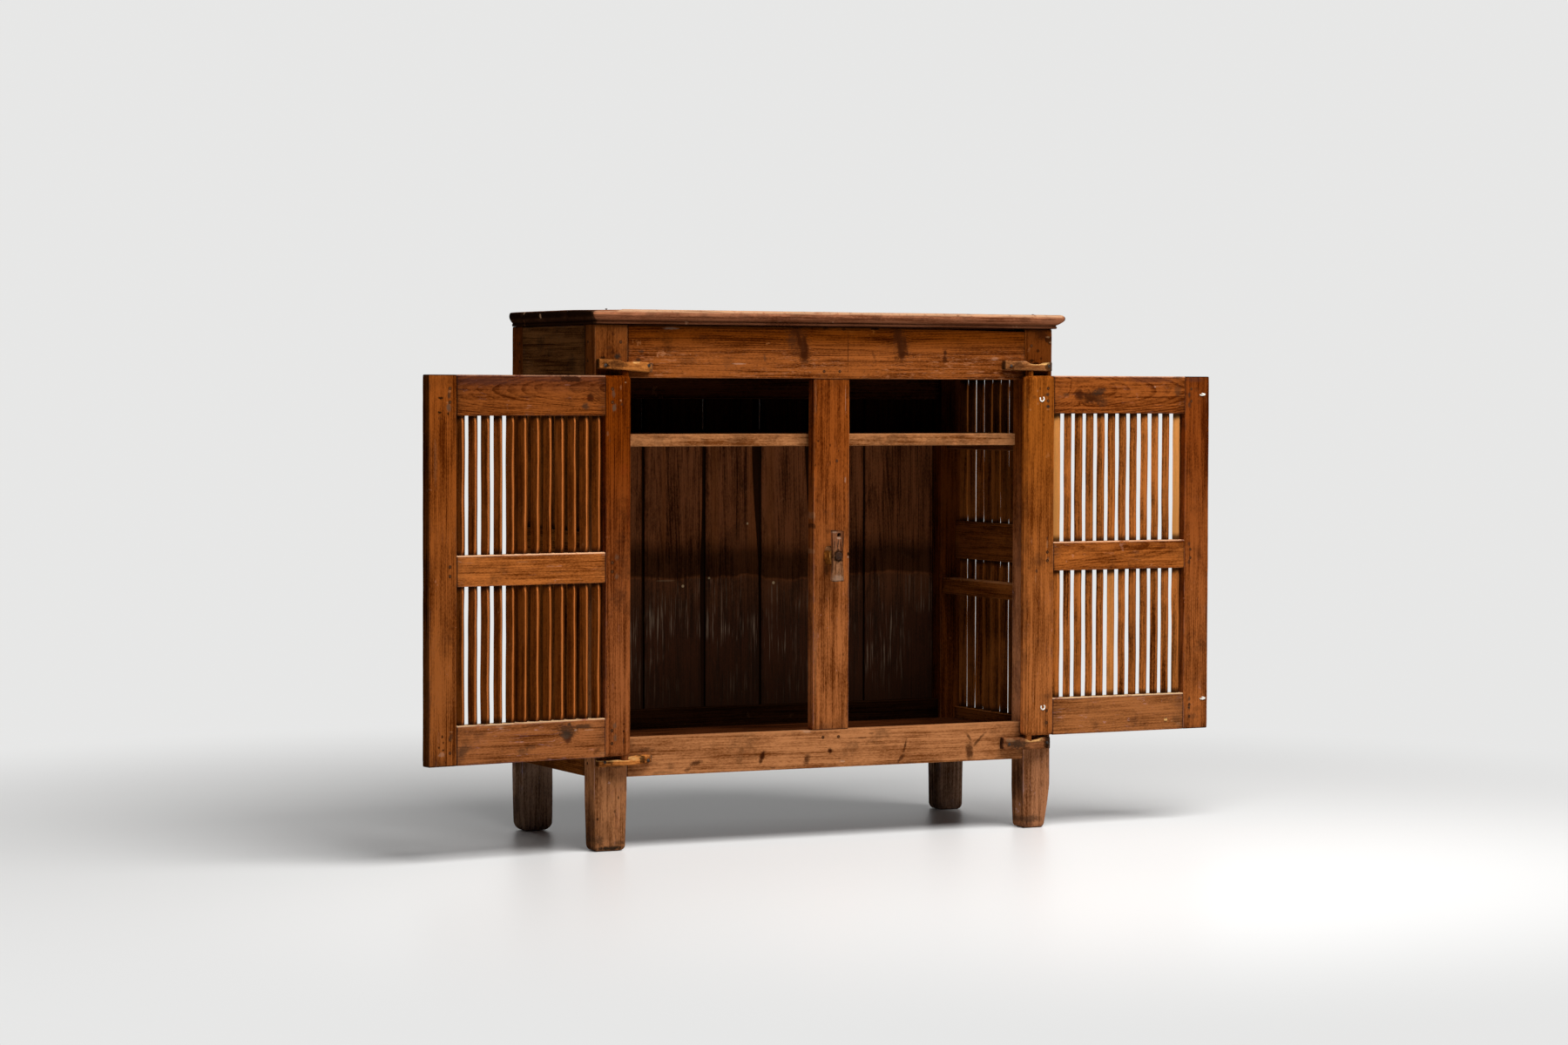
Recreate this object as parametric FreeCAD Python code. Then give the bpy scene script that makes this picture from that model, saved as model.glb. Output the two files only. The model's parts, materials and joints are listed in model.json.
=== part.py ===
import FreeCAD, Part
import math
import os

os.makedirs("parts", exist_ok=True)

# Lengths are millimetres and angles are degrees.
# X runs along the front, Y to the back and Z up. The origin lies on the floor under the middle of the case.

# The case, and the softening of every sawn edge
case_width = 971.5
case_depth = 398.5
case_height = 975.0
leg_height = 137.0
edge_round = 1.6

# Posts, which run down to the floor as the legs
front_left_post_width = 66.0
front_right_post_width = 60.0
back_left_post_width = 64.0
back_right_post_width = 54.0
front_post_depth = 46.0
back_post_depth = 50.7
foot_round = 5.0
worn_foot_height = 105.0
worn_foot_inset = 11.0

# Rails and the upright between the doors
front_rail_thickness = 24.0
front_top_rail_height = 99.3
front_bottom_rail_height = 72.0
rail_to_top_gap = 2.0
mullion_width = 75.4
mullion_offset = 3.9
side_rail_thickness = 21.0
side_mid_rail_height = 76.0
side_mid_rail_share = 0.455
side_bottom_rail_height = 75.0
back_rail_thickness = 20.0
back_top_rail_height = 136.5
back_bottom_rail_height = 91.0

# Tenons and the pegs that lock them
tenon_length = 28.0
tenon_thickness = 8.0
tenon_shoulder = 9.0
peg_diameter = 6.5
peg_proud = 0.4
peg_length = 22.0
peg_height_shares = (0.28, 0.72)

# Square bars set corner first in the sides and the doors
side_bar_size = 12.2
left_door_bar_size = 13.4
right_door_bar_size = 12.6
bar_ridge_round = 0.8
bar_socket_depth = 8.0
bar_end_thickness = 9.0
bar_bevel_length = 7.0
side_bar_count = 9
door_bar_count = 12

# Back boards, floor boards, shelf and what carries them
back_board_thickness = 15.0
back_board_setback = 7.75
back_board_shares = (0.1216, 0.1201, 0.1549, 0.1435, 0.1357, 0.1375, 0.1867)
board_gap = 1.2
floor_board_thickness = 18.0
floor_below_rail = 20.0
floor_board_shares = (0.33, 0.35, 0.32)
bearer_width = 20.0
bearer_height = 25.0
shelf_thickness = 23.0
shelf_below_doorway_top = 104.7
shelf_front_setback = 37.0
shelf_clearance = 0.8
cleat_width = 20.0
cleat_height = 12.0
ledge_width = 30.0
ledge_height = 32.0
ledge_below_mid_rail = 39.0
ledge_end_round = 9.0

# The top, with a rounded nose over a small bead on its front and ends
nose_height = 17.5
nose_round = 8.4
neck_height = 4.0
neck_setback = 9.0
bead_height = 5.5
bead_setback = 14.0
bead_round = 2.4
top_front_overhang = 19.0
top_left_overhang = 12.5
top_right_overhang = 19.0
top_back_setback = 14.0
back_top_board_depth = 66.0
top_joint_gap = 0.6

# Doors, which lie on the front of the case
door_thickness = 24.0
door_to_case_gap = 3.0
left_hinge_stile_width = 57.0
right_hinge_stile_width = 63.0
free_stile_width = 57.0
door_top_rail_height = 73.5
door_mid_rail_height = 56.0
door_bottom_rail_height = 72.0
door_mid_rail_share = 0.458
left_door_top_lap = 4.0
right_door_top_lap = 8.0
left_door_bottom_lap = 30.0
right_door_bottom_lap = 25.5
hinge_edge_round = 9.0
hinge_shoulder_round = 8.0
left_door_open_angle = 172.0
right_door_open_angle = 181.5

# Wooden pivots at the ends of the hinge stiles, and the blocks that hold them
left_pivot_from_side = 53.75
right_pivot_from_side = 58.75
left_pivot_setback = 9.0
right_pivot_setback = 13.5
pintle_diameter = 15.0
pintle_play = 0.08
pintle_seat_depth = 10.0
block_end_thickness = 13.0
block_wall_over_pintle = 4.4
block_height = 18.5
bottom_left_block_height = 15.0
bottom_right_block_height = 23.5
top_block_gap = 9.5
bottom_left_block_gap = 3.5
bottom_right_block_gap = 3.5
left_block_outer_reach = 51.5
left_block_inner_reach = 58.0
right_block_outer_reach = 52.5
right_block_inner_reach = 54.0
block_round = 1.8
block_dip_radius = 26.0
block_dip_depth = 3.6
top_left_block_tilt = 4.0
top_right_block_tilt = 1.5
bottom_left_block_tilt = -2.6
bottom_right_block_tilt = 1.0

# Turn button on its spacer, between the two doors
spacer_width = 26.5
spacer_height = 36.0
spacer_beyond_doors = 0.5
door_to_spacer_gap = 1.5
button_width = 26.5
button_length = 97.0
button_thickness = 10.0
button_height_share = 0.498
button_waist = 1.6
button_round = 2.0
button_hole_diameter = 4.0
button_hole_from_end = 9.0
button_nail_play = 0.08
button_nail_diameter = 5.0
button_nail_head_diameter = 16.0
button_nail_head_thickness = 3.0
button_nail_depth = 55.0

# Nails
nail_diameter = 2.4
nail_head_diameter = 7.0
nail_head_thickness = 1.6
head_round_share = 0.6
nail_depth = 34.0
board_nail_head_diameter = 5.0
board_nail_depth = 26.0
nail_from_board_edge = 22.0
block_nail_from_end = 11.0

# Curtain-wire eyes and a wooden plug on the right door
eye_outer_diameter = 9.0
eye_wire_diameter = 2.0
eye_stem_diameter = 1.6
eye_stem_depth = 8.0
eye_to_face_gap = 0.2
low_hinge_eye_from_edge = 40.0
low_hinge_eye_from_end = 58.5
high_hinge_eye_from_edge = 34.5
high_hinge_eye_from_end = 41.5
low_free_eye_from_edge = 12.5
low_free_eye_from_end = 63.0
high_free_eye_from_edge = 17.5
high_free_eye_from_end = 32.0
plug_diameter = 8.0
plug_depth = 12.0
plug_from_free_edge = 99.0
plug_from_door_bottom = 20.0

# One overrun serves every cut
overrun = 1.0

# Places worked out from the sizes above
half_width = case_width / 2
half_depth = case_depth / 2
front_post_back = front_post_depth - half_depth
back_post_front = half_depth - back_post_depth
rail_top = case_height - rail_to_top_gap
front_opening_top = case_height - front_top_rail_height
front_opening_bottom = leg_height + front_bottom_rail_height
front_rail_back = front_rail_thickness - half_depth
side_rail_inner = half_width - side_rail_thickness
side_bottom_rail_top = leg_height + side_bottom_rail_height
side_mid_rail_level = side_bottom_rail_top + (front_opening_top - side_bottom_rail_top) * side_mid_rail_share
shelf_level = front_opening_top - shelf_below_doorway_top - shelf_thickness
ledge_level = side_mid_rail_level - ledge_below_mid_rail - ledge_height
button_level = front_opening_bottom + (front_opening_top - front_opening_bottom) * button_height_share
floor_top = front_opening_bottom - floor_below_rail
floor_underside = floor_top - floor_board_thickness
back_board_face = half_depth - back_board_setback - back_board_thickness
back_rail_front = back_board_face - back_rail_thickness
mullion_left = mullion_offset - mullion_width / 2
mullion_right = mullion_offset + mullion_width / 2
left_post_inner = front_left_post_width - half_width
right_post_inner = half_width - front_right_post_width
back_left_inner = back_left_post_width - half_width
back_right_inner = half_width - back_right_post_width
pivot_y = -half_depth - door_to_case_gap - door_thickness / 2
left_pivot_x = left_pivot_from_side - half_width
right_pivot_x = half_width - right_pivot_from_side
block_thickness = -half_depth - pivot_y + pintle_diameter / 2 + block_wall_over_pintle
door_free_edge = spacer_width / 2 + door_to_spacer_gap

nodes = {}
tenons = {}


def point(x, y, z):
    return FreeCAD.Vector(x, y, z)


def block(xs, ys, zs):
    """A plain block between pairs of low and high places."""
    corner = point(xs[0], ys[0], zs[0])
    return Part.makeBox(xs[1] - xs[0], ys[1] - ys[0], zs[1] - zs[0], corner)


def eased(xs, ys, zs, radius):
    """A block with every edge rounded."""
    shape = block(xs, ys, zs)
    return shape.makeFillet(radius, shape.Edges)


def edges_along(shape, axis, near, reach):
    """Straight edges along one axis whose middle lies within reach of a place; None leaves a direction free."""
    found = []
    for edge in shape.Edges:
        run = edge.Vertexes[-1].Point - edge.Vertexes[0].Point
        across = [abs(part) for index, part in enumerate((run.x, run.y, run.z)) if index != axis]
        middle = edge.CenterOfMass
        offsets = zip((middle.x, middle.y, middle.z), near)
        close = all(wanted is None or abs(value - wanted) < reach for value, wanted in offsets)
        if close and max(across) < reach * 0.01 and run.Length > reach:
            found.append(edge)
    return found


def joined(shapes):
    return Part.makeCompound(shapes)


def tenon(xs, ys, zs, axis, width_axis):
    """The thin bar that stands out of both ends of a rail, a shoulder in from its two long edges."""
    spans = [list(xs), list(ys), list(zs)]
    thickness_axis = 3 - axis - width_axis
    middle = sum(spans[thickness_axis]) / 2
    spans[axis] = [spans[axis][0] - tenon_length, spans[axis][1] + tenon_length]
    spans[width_axis] = [spans[width_axis][0] + tenon_shoulder, spans[width_axis][1] - tenon_shoulder]
    spans[thickness_axis] = [middle - tenon_thickness / 2, middle + tenon_thickness / 2]
    return block(*spans)


def with_tenons(xs, ys, zs, axis, width_axis):
    """A rail or upright with its tenons, and the tenons alone, which cut the mortises."""
    tongue = tenon(xs, ys, zs, axis, width_axis)
    return eased(xs, ys, zs, edge_round).fuse(tongue).removeSplitter(), tongue


def add_rail(name, xs, ys, zs, axis, width_axis):
    nodes[name], tenons[name] = with_tenons(xs, ys, zs, axis, width_axis)


def peg(start, direction):
    """A round peg that stands a little proud of the face it was driven into."""
    out = point(*[-part * peg_proud for part in direction])
    return Part.makeCylinder(peg_diameter / 2, peg_length + peg_proud, point(*start) + out, point(*direction))


def nail_head(face, down, thickness, diameter):
    """A flat round head that rests on a face, with its outer rim rounded."""
    head = Part.makeCylinder(diameter / 2, thickness, face - down * thickness, down)
    rims = [edge for edge in head.Edges if abs((edge.CenterOfMass - face).dot(down)) > thickness * head_round_share]
    rims = [edge for edge in rims if edge.Closed]
    return head.makeFillet(thickness * head_round_share, rims)


def nail(start, direction, depth, head_diameter):
    """A nail whose head lies on the face at start, driven along direction."""
    down = point(*direction)
    head = nail_head(point(*start), down, nail_head_thickness, head_diameter)
    shank = Part.makeCylinder(nail_diameter / 2, depth, point(*start), down)
    return head.fuse(shank).removeSplitter()


def peg_levels(bottom, top):
    low = bottom + tenon_shoulder
    high = top - tenon_shoulder
    return [low + (high - low) * share for share in peg_height_shares]


def foot_wear(side):
    """What has worn off the outer side of the front right foot, as a wedge."""
    outer = side * half_width
    outline = [point(outer, -half_depth, worn_foot_height),
               point(outer - side * worn_foot_inset, -half_depth, 0),
               point(outer, -half_depth, 0),
               point(outer, -half_depth, worn_foot_height)]
    return Part.Face(Part.makePolygon(outline)).extrude(point(0, front_post_depth, 0))


def post(xs, ys):
    """A post with eased corners and a rounded foot."""
    shape = block(xs, ys, (0, case_height))
    corners = edges_along(shape, 2, (None, None, None), edge_round)
    shape = shape.makeFillet(edge_round, corners)
    sole = [edge for edge in shape.Edges if edge.BoundBox.ZMax < foot_round / 2]
    return shape.makeFillet(foot_round, sole)


def make_posts():
    front = (-half_depth, front_post_back)
    back = (back_post_front, half_depth)
    nodes["front_left_post"] = post((-half_width, left_post_inner), front)
    nodes["front_right_post"] = post((right_post_inner, half_width), front).cut(foot_wear(1))
    nodes["back_left_post"] = post((-half_width, back_left_inner), back)
    nodes["back_right_post"] = post((back_right_inner, half_width), back)


def make_front_frame():
    front = (-half_depth, front_rail_back)
    across = (left_post_inner, right_post_inner)
    add_rail("front_top_rail", across, front, (front_opening_top, rail_top), 0, 2)
    add_rail("front_bottom_rail", across, front, (leg_height, front_opening_bottom), 0, 2)
    upright = (front_opening_bottom, front_opening_top)
    add_rail("centre_mullion", (mullion_left, mullion_right), front, upright, 2, 0)


def make_back_frame():
    across = (back_left_inner, back_right_inner)
    depth = (back_rail_front, back_board_face)
    add_rail("back_top_rail", across, depth, (rail_top - back_top_rail_height, rail_top), 0, 2)
    add_rail("back_bottom_rail", across, depth, (leg_height, leg_height + back_bottom_rail_height), 0, 2)


def side_rail_levels():
    return {"top": (front_opening_top, rail_top),
            "mid": (side_mid_rail_level, side_mid_rail_level + side_mid_rail_height),
            "bottom": (leg_height, leg_height + side_bottom_rail_height)}


def make_side_rails(side, name):
    across = sorted((side * half_width, side * side_rail_inner))
    for level, heights in side_rail_levels().items():
        add_rail(name + "_side_" + level + "_rail", across, (front_post_back, back_post_front), heights, 1, 2)


def bar(x, y, low, high, size, flat_axis):
    """One square bar set corner first. Both ends are bevelled thinner, and enter the rails above and below."""
    half_diagonal = size / math.sqrt(2)
    bottom = low - bar_socket_depth
    top = high + bar_socket_depth
    corners = [point(x - half_diagonal, y, bottom), point(x, y - half_diagonal, bottom),
               point(x + half_diagonal, y, bottom), point(x, y + half_diagonal, bottom)]
    prism = Part.Face(Part.makePolygon(corners + corners[:1])).extrude(point(0, 0, top - bottom))
    prism = prism.makeFillet(bar_ridge_round, edges_along(prism, 2, (None, None, None), size))
    thin = bar_end_thickness / 2
    full = half_diagonal + overrun
    profile = [(thin, bottom - overrun), (thin, low), (full, low + bar_bevel_length),
               (full, high - bar_bevel_length), (thin, high), (thin, top + overrun)]
    outline = profile + [(-offset, z) for offset, z in reversed(profile)]
    if flat_axis == 0:
        outline = [point(x - full, y + offset, z) for offset, z in outline]
        slab = Part.Face(Part.makePolygon(outline + outline[:1])).extrude(point(2 * full, 0, 0))
    else:
        outline = [point(x + offset, y - full, z) for offset, z in outline]
        slab = Part.Face(Part.makePolygon(outline + outline[:1])).extrude(point(0, 2 * full, 0))
    return prism.common(slab)


def make_side_bars(side, name):
    """Two tiers of bars between the side rails, evenly spaced between the posts."""
    levels = side_rail_levels()
    x = side * (half_width + side_rail_inner) / 2
    pitch = (back_post_front - front_post_back) / side_bar_count
    tiers = {"upper": (levels["mid"][1], levels["top"][0]), "lower": (levels["bottom"][1], levels["mid"][0])}
    for tier, (low, high) in tiers.items():
        places = [front_post_back + (index + 0.5) * pitch for index in range(side_bar_count)]
        nodes[name + "_side_" + tier + "_bars"] = joined([bar(x, y, low, high, side_bar_size, 1) for y in places])


def notched_board(front, back, low, thickness):
    """A board over the whole floor plan, cut round the four posts."""
    reach = side_rail_inner - shelf_clearance
    shape = block((-reach, reach), (front, back), (low, low + thickness))
    corners = [((-half_width, left_post_inner + shelf_clearance), (-half_depth, front_post_back + shelf_clearance)),
               ((right_post_inner - shelf_clearance, half_width), (-half_depth, front_post_back + shelf_clearance)),
               ((-half_width, back_left_inner + shelf_clearance), (back_post_front - shelf_clearance, half_depth)),
               ((back_right_inner - shelf_clearance, half_width), (back_post_front - shelf_clearance, half_depth))]
    for xs, ys in corners:
        shape = shape.cut(block(xs, ys, (low - overrun, low + thickness + overrun)))
    return shape


def make_shelf():
    board = notched_board(shelf_front_setback - half_depth, back_board_face - shelf_clearance,
                          shelf_level, shelf_thickness)
    nose = edges_along(board, 0, (None, shelf_front_setback - half_depth, None), edge_round)
    nodes["shelf_board"] = board.makeFillet(edge_round, nose)


def make_shelf_supports(side, name):
    between_posts = (front_post_back, back_post_front)
    cleat = sorted((side * side_rail_inner, side * (side_rail_inner - cleat_width)))
    heights = (shelf_level - cleat_height, shelf_level)
    nodes[name + "_shelf_cleat"] = eased(cleat, between_posts, heights, edge_round)
    ledge = sorted((side * side_rail_inner, side * (side_rail_inner - ledge_width)))
    shape = block(ledge, between_posts, (ledge_level, ledge_level + ledge_height))
    worn_end = edges_along(shape, 0, (None, back_post_front, ledge_level + ledge_height), edge_round)
    nodes[name + "_shelf_ledge"] = shape.makeFillet(ledge_end_round, worn_end)
    bearer = sorted((side * side_rail_inner, side * (side_rail_inner - bearer_width)))
    heights = (floor_underside - bearer_height, floor_underside)
    nodes[name + "_floor_bearer"] = eased(bearer, between_posts, heights, edge_round)


def make_floor_boards():
    """Floor boards along the front, with open joints between them."""
    front = front_rail_back + shelf_clearance
    back = back_rail_front - shelf_clearance
    whole = notched_board(front, back, floor_underside, floor_board_thickness)
    boards = []
    low = front
    for share in floor_board_shares:
        high = low + (back - front) * share
        strip = block((-half_width, half_width), (low + board_gap / 2, high - board_gap / 2),
                      (floor_underside - overrun, floor_top + overrun))
        boards.append(whole.common(strip))
        low = high
    nodes["floor_boards"] = joined(boards)


def back_board_edges():
    """The left and right edge of each back board."""
    width = back_right_inner - back_left_inner
    edges = []
    left = back_left_inner
    for share in back_board_shares:
        right = left + width * share
        edges.append((left + board_gap / 2, right - board_gap / 2))
        left = right
    return edges


def make_back_boards():
    depth = (back_board_face, back_board_face + back_board_thickness)
    boards = [eased(edges, depth, (leg_height, rail_top), edge_round) for edges in back_board_edges()]
    nodes["back_boards"] = joined(boards)


def top_layer(front, ends, low, high, radius, sides):
    """One layer of the top, between two levels, with its front and end edges rounded."""
    back = half_depth - top_back_setback
    xs = (-half_width - ends[0], half_width + ends[1])
    shape = block(xs, (-half_depth - front, back), (low, high))
    rims = [edge for edge in shape.Edges
            if edge.CenterOfMass.y < back - overrun and edge.BoundBox.ZLength < overrun]
    corners = edges_along(shape, 2, (None, -half_depth - front, None), radius)
    shape = shape.makeFillet(radius, corners + rims) if sides else shape
    return shape


def make_top():
    """Two boards with a rounded nose, a recessed neck and a bead under it."""
    overhangs = (top_front_overhang, top_left_overhang, top_right_overhang)
    bead = [overhang - bead_setback * overhang / top_front_overhang for overhang in overhangs]
    neck = [overhang - neck_setback * overhang / top_front_overhang for overhang in overhangs]
    bead_top = case_height + bead_height
    neck_top = bead_top + neck_height
    top = neck_top + nose_height
    whole = top_layer(bead[0], bead[1:], case_height, bead_top, bead_round, True)
    whole = whole.fuse(top_layer(neck[0], neck[1:], bead_top, neck_top, 0, False))
    whole = whole.fuse(top_layer(overhangs[0], overhangs[1:], neck_top, top, nose_round, True))
    joint = half_depth - top_back_setback - back_top_board_depth
    wide = (-case_width, case_width)
    levels = (case_height - overrun, top + overrun)
    front = block(wide, (-case_depth, joint - top_joint_gap / 2), levels)
    back = block(wide, (joint + top_joint_gap / 2, case_depth), levels)
    nodes["top_front_board"] = whole.common(front).removeSplitter()
    nodes["top_back_board"] = whole.common(back).removeSplitter()
    return top


def make_top_nails(top):
    """Nails through the top into the posts."""
    front = front_post_back - front_post_depth / 2
    back = back_post_front + (half_depth - top_back_setback - back_post_front) / 2
    places = []
    for y, inner_left, inner_right in ((front, left_post_inner, right_post_inner),
                                       (back, back_left_inner, back_right_inner)):
        for x in ((inner_left - half_width) / 2, (inner_right + half_width) / 2):
            places.append((x, y))
    depth = nose_height + neck_height + bead_height + nail_depth
    nails = [nail((x, y, top), (0, 0, -1), depth, nail_head_diameter) for x, y in places]
    for name in ("top_front_board", "top_back_board", "front_top_rail", "back_top_rail"):
        cut_by(name, nails)
    for name in ("front_left_post", "front_right_post", "back_left_post", "back_right_post"):
        cut_by(name, nails)
    nodes["top_nails"] = joined(nails)


def cut_all(shape, tools):
    """Cut a shape with every tool that reaches it."""
    for tool in tools:
        if tool.BoundBox.intersect(shape.BoundBox):
            shape = shape.cut(tool)
    return shape


def cut_by(name, tools):
    nodes[name] = cut_all(nodes[name], tools)


def make_case_pegs():
    """Two pegs through every tenon of the case, driven from the outside."""
    pegs = []
    heights = side_rail_levels()
    ends = ((left_post_inner - tenon_length / 2), (right_post_inner + tenon_length / 2))
    for low, high in ((front_opening_top, rail_top), (leg_height, front_opening_bottom)):
        for x in ends:
            pegs += [peg((x, -half_depth, z), (0, 1, 0)) for z in peg_levels(low, high)]
    for low, high in ((front_opening_bottom - tenon_length, front_opening_bottom),
                      (front_opening_top, front_opening_top + tenon_length)):
        for share in peg_height_shares:
            x = mullion_left + mullion_width * share
            pegs.append(peg((x, -half_depth, (low + high) / 2), (0, 1, 0)))
    for side in (-1, 1):
        for low, high in heights.values():
            for y in (front_post_back - tenon_length / 2, back_post_front + tenon_length / 2):
                pegs += [peg((side * half_width, y, z), (-side, 0, 0)) for z in peg_levels(low, high)]
    names = [name for name in nodes if name.endswith(("_post", "_rail", "_mullion"))]
    for name in names:
        cut_by(name, pegs)
    nodes["case_pegs"] = joined(pegs)


def make_board_nails():
    """Nails that hold the back boards to their rails and the floor boards to their bearers."""
    nails = []
    face = back_board_face + back_board_thickness
    levels = (rail_top - back_top_rail_height / 2, leg_height + back_bottom_rail_height / 2)
    for left, right in back_board_edges():
        for x in (left + nail_from_board_edge, right - nail_from_board_edge):
            nails += [nail((x, face, z), (0, -1, 0), board_nail_depth, board_nail_head_diameter) for z in levels]
    names = ("back_boards", "back_top_rail", "back_bottom_rail")
    for name in names:
        cut_by(name, nails)
    nodes["back_board_nails"] = joined(nails)
    nails = []
    for side in (-1, 1):
        x = side * (side_rail_inner - bearer_width / 2)
        for board in nodes["floor_boards"].Solids:
            middle = board.BoundBox.Center.y
            nails.append(nail((x, middle, floor_top), (0, 0, -1), board_nail_depth, board_nail_head_diameter))
    for name in ("floor_boards", "left_floor_bearer", "right_floor_bearer"):
        cut_by(name, nails)
    nodes["floor_nails"] = joined(nails)


def pivot_block(x, low, height, left_reach, right_reach, tilt):
    """A bowed block on the front of the case, thickest at the pivot, with a dip carved in its top edge."""
    case_front = -half_depth
    left = x - left_reach
    right = x + right_reach
    end_y = case_front - block_end_thickness
    crown = point(x, case_front - block_thickness, low)
    outline = Part.Wire([
        Part.LineSegment(point(left, case_front, low), point(right, case_front, low)).toShape(),
        Part.LineSegment(point(right, case_front, low), point(right, end_y, low)).toShape(),
        Part.Arc(point(right, end_y, low), crown, point(left, end_y, low)).toShape(),
        Part.LineSegment(point(left, end_y, low), point(left, case_front, low)).toShape()])
    shape = Part.Face(outline).extrude(point(0, 0, height))
    rims = [edge for edge in shape.Edges if edge.CenterOfMass.y < case_front - overrun]
    shape = shape.makeFillet(block_round, rims)
    dip_centre = point(x, case_front - block_thickness - overrun, low + height - block_dip_depth + block_dip_radius)
    dip = Part.makeCylinder(block_dip_radius, block_thickness + 2 * overrun, dip_centre, point(0, 1, 0))
    shape = shape.cut(dip)
    shape.rotate(point(x, case_front, low + height / 2), point(0, 1, 0), tilt)
    return shape


def socket(x, low, high):
    """The hole that a pintle turns in."""
    return Part.makeCylinder(pintle_diameter / 2 + pintle_play, high - low, point(x, pivot_y, low))


def make_pivot_blocks():
    """Four blocks, their sockets and the nails at their ends."""
    reach = {"left": (left_block_outer_reach, left_block_inner_reach),
             "right": (right_block_inner_reach, right_block_outer_reach)}
    pivots = {"left": left_pivot_x, "right": right_pivot_x}
    bottoms = {"left": (bottom_left_block_height, bottom_left_block_gap, bottom_left_block_tilt),
               "right": (bottom_right_block_height, bottom_right_block_gap, bottom_right_block_tilt)}
    top_tilts = {"left": top_left_block_tilt, "right": top_right_block_tilt}
    nails = []
    for side in ("left", "right"):
        x = pivots[side]
        door_low, door_high = door_levels(side)
        top_low = door_high + top_block_gap
        shape = pivot_block(x, top_low, block_height, *reach[side], top_tilts[side])
        seat = socket(x, door_high, top_low + pintle_seat_depth)
        nodes["top_" + side + "_pivot_block"] = shape.cut(seat)
        height, gap, tilt = bottoms[side]
        bottom_low = door_low - gap - height
        shape = pivot_block(x, bottom_low, height, *reach[side], tilt)
        seat = socket(x, door_low - gap - pintle_seat_depth, door_low)
        nodes["bottom_" + side + "_pivot_block"] = shape.cut(seat)
        for middle in (top_low + block_height / 2, bottom_low + height / 2):
            for end in (x - reach[side][0] + block_nail_from_end, x + reach[side][1] - block_nail_from_end):
                nails.append((end, middle))
    driven = []
    names = [name for name in nodes if name.endswith("_pivot_block")]
    for name in names:
        cut_by(name, nodes["case_pegs"].Solids)
    for x, z in nails:
        for name in names:
            face = block_face(nodes[name], x, z)
            if face is not None:
                driven.append(nail((x, face, z), (0, 1, 0), nail_depth, nail_head_diameter))
    for name in names + ["front_left_post", "front_right_post", "front_top_rail", "front_bottom_rail"]:
        cut_by(name, driven)
    nodes["pivot_block_nails"] = joined(driven)


def block_face(shape, x, z):
    """How far forward a block reaches at one place, or None where the place is off the block."""
    line = Part.makeLine(point(x, -case_depth, z), point(x, -half_depth, z))
    inside = shape.common(line)
    return inside.BoundBox.YMin if inside.Edges else None


def door_levels(side):
    laps = {"left": (left_door_bottom_lap, left_door_top_lap), "right": (right_door_bottom_lap, right_door_top_lap)}
    low, high = laps[side]
    return front_opening_bottom - low, front_opening_top + high


def make_turn_button():
    """A button that turns on one big nail, held off the frame by a spacer as thick as the doors."""
    reach = door_to_case_gap + door_thickness + spacer_beyond_doors
    spacer_front = -half_depth - reach
    half_height = spacer_height / 2
    spacer = eased((-spacer_width / 2, spacer_width / 2), (spacer_front, -half_depth),
                   (button_level - half_height, button_level + half_height), edge_round)
    low = button_level - button_length / 2
    high = button_level + button_length / 2
    half = button_width / 2
    waist = half - button_waist
    back = spacer_front
    outline = Part.Wire([
        Part.LineSegment(point(-half, back, low), point(half, back, low)).toShape(),
        Part.Arc(point(half, back, low), point(waist, back, button_level), point(half, back, high)).toShape(),
        Part.LineSegment(point(half, back, high), point(-half, back, high)).toShape(),
        Part.Arc(point(-half, back, high), point(-waist, back, button_level), point(-half, back, low)).toShape()])
    button = Part.Face(outline).extrude(point(0, -button_thickness, 0))
    button = button.makeFillet(button_round, button.Edges)
    front = back - button_thickness
    hole = Part.makeCylinder(button_hole_diameter / 2, button_thickness + 2 * overrun,
                             point(0, front - overrun, high - button_hole_from_end), point(0, 1, 0))
    bore = Part.makeCylinder(button_nail_diameter / 2 + button_nail_play, button_thickness + 2 * overrun,
                             point(0, front - overrun, button_level), point(0, 1, 0))
    nodes["turn_button"] = button.cut(hole).cut(bore)
    head_back = point(0, front - button_nail_play, button_level)
    head = nail_head(head_back, point(0, 1, 0), button_nail_head_thickness, button_nail_head_diameter)
    shank = Part.makeCylinder(button_nail_diameter / 2, button_nail_depth, head_back, point(0, 1, 0))
    big_nail = head.fuse(shank).removeSplitter()
    nodes["turn_button_nail"] = big_nail
    nodes["turn_button_spacer"] = spacer.cut(big_nail)
    cut_by("centre_mullion", [big_nail])


def door_eye(x, face, z):
    """A small wire eye that lies flat against the inner face of the door."""
    wire = eye_wire_diameter / 2
    ring_radius = eye_outer_diameter / 2 - wire
    middle = point(x, face + eye_to_face_gap + wire, z - ring_radius)
    ring = Part.makeTorus(ring_radius, wire, middle, point(0, 1, 0))
    stem = Part.makeCylinder(eye_stem_diameter / 2, eye_stem_depth + eye_to_face_gap + wire,
                             point(x, face - eye_stem_depth, z), point(0, 1, 0))
    return ring.fuse(stem).removeSplitter()


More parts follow.
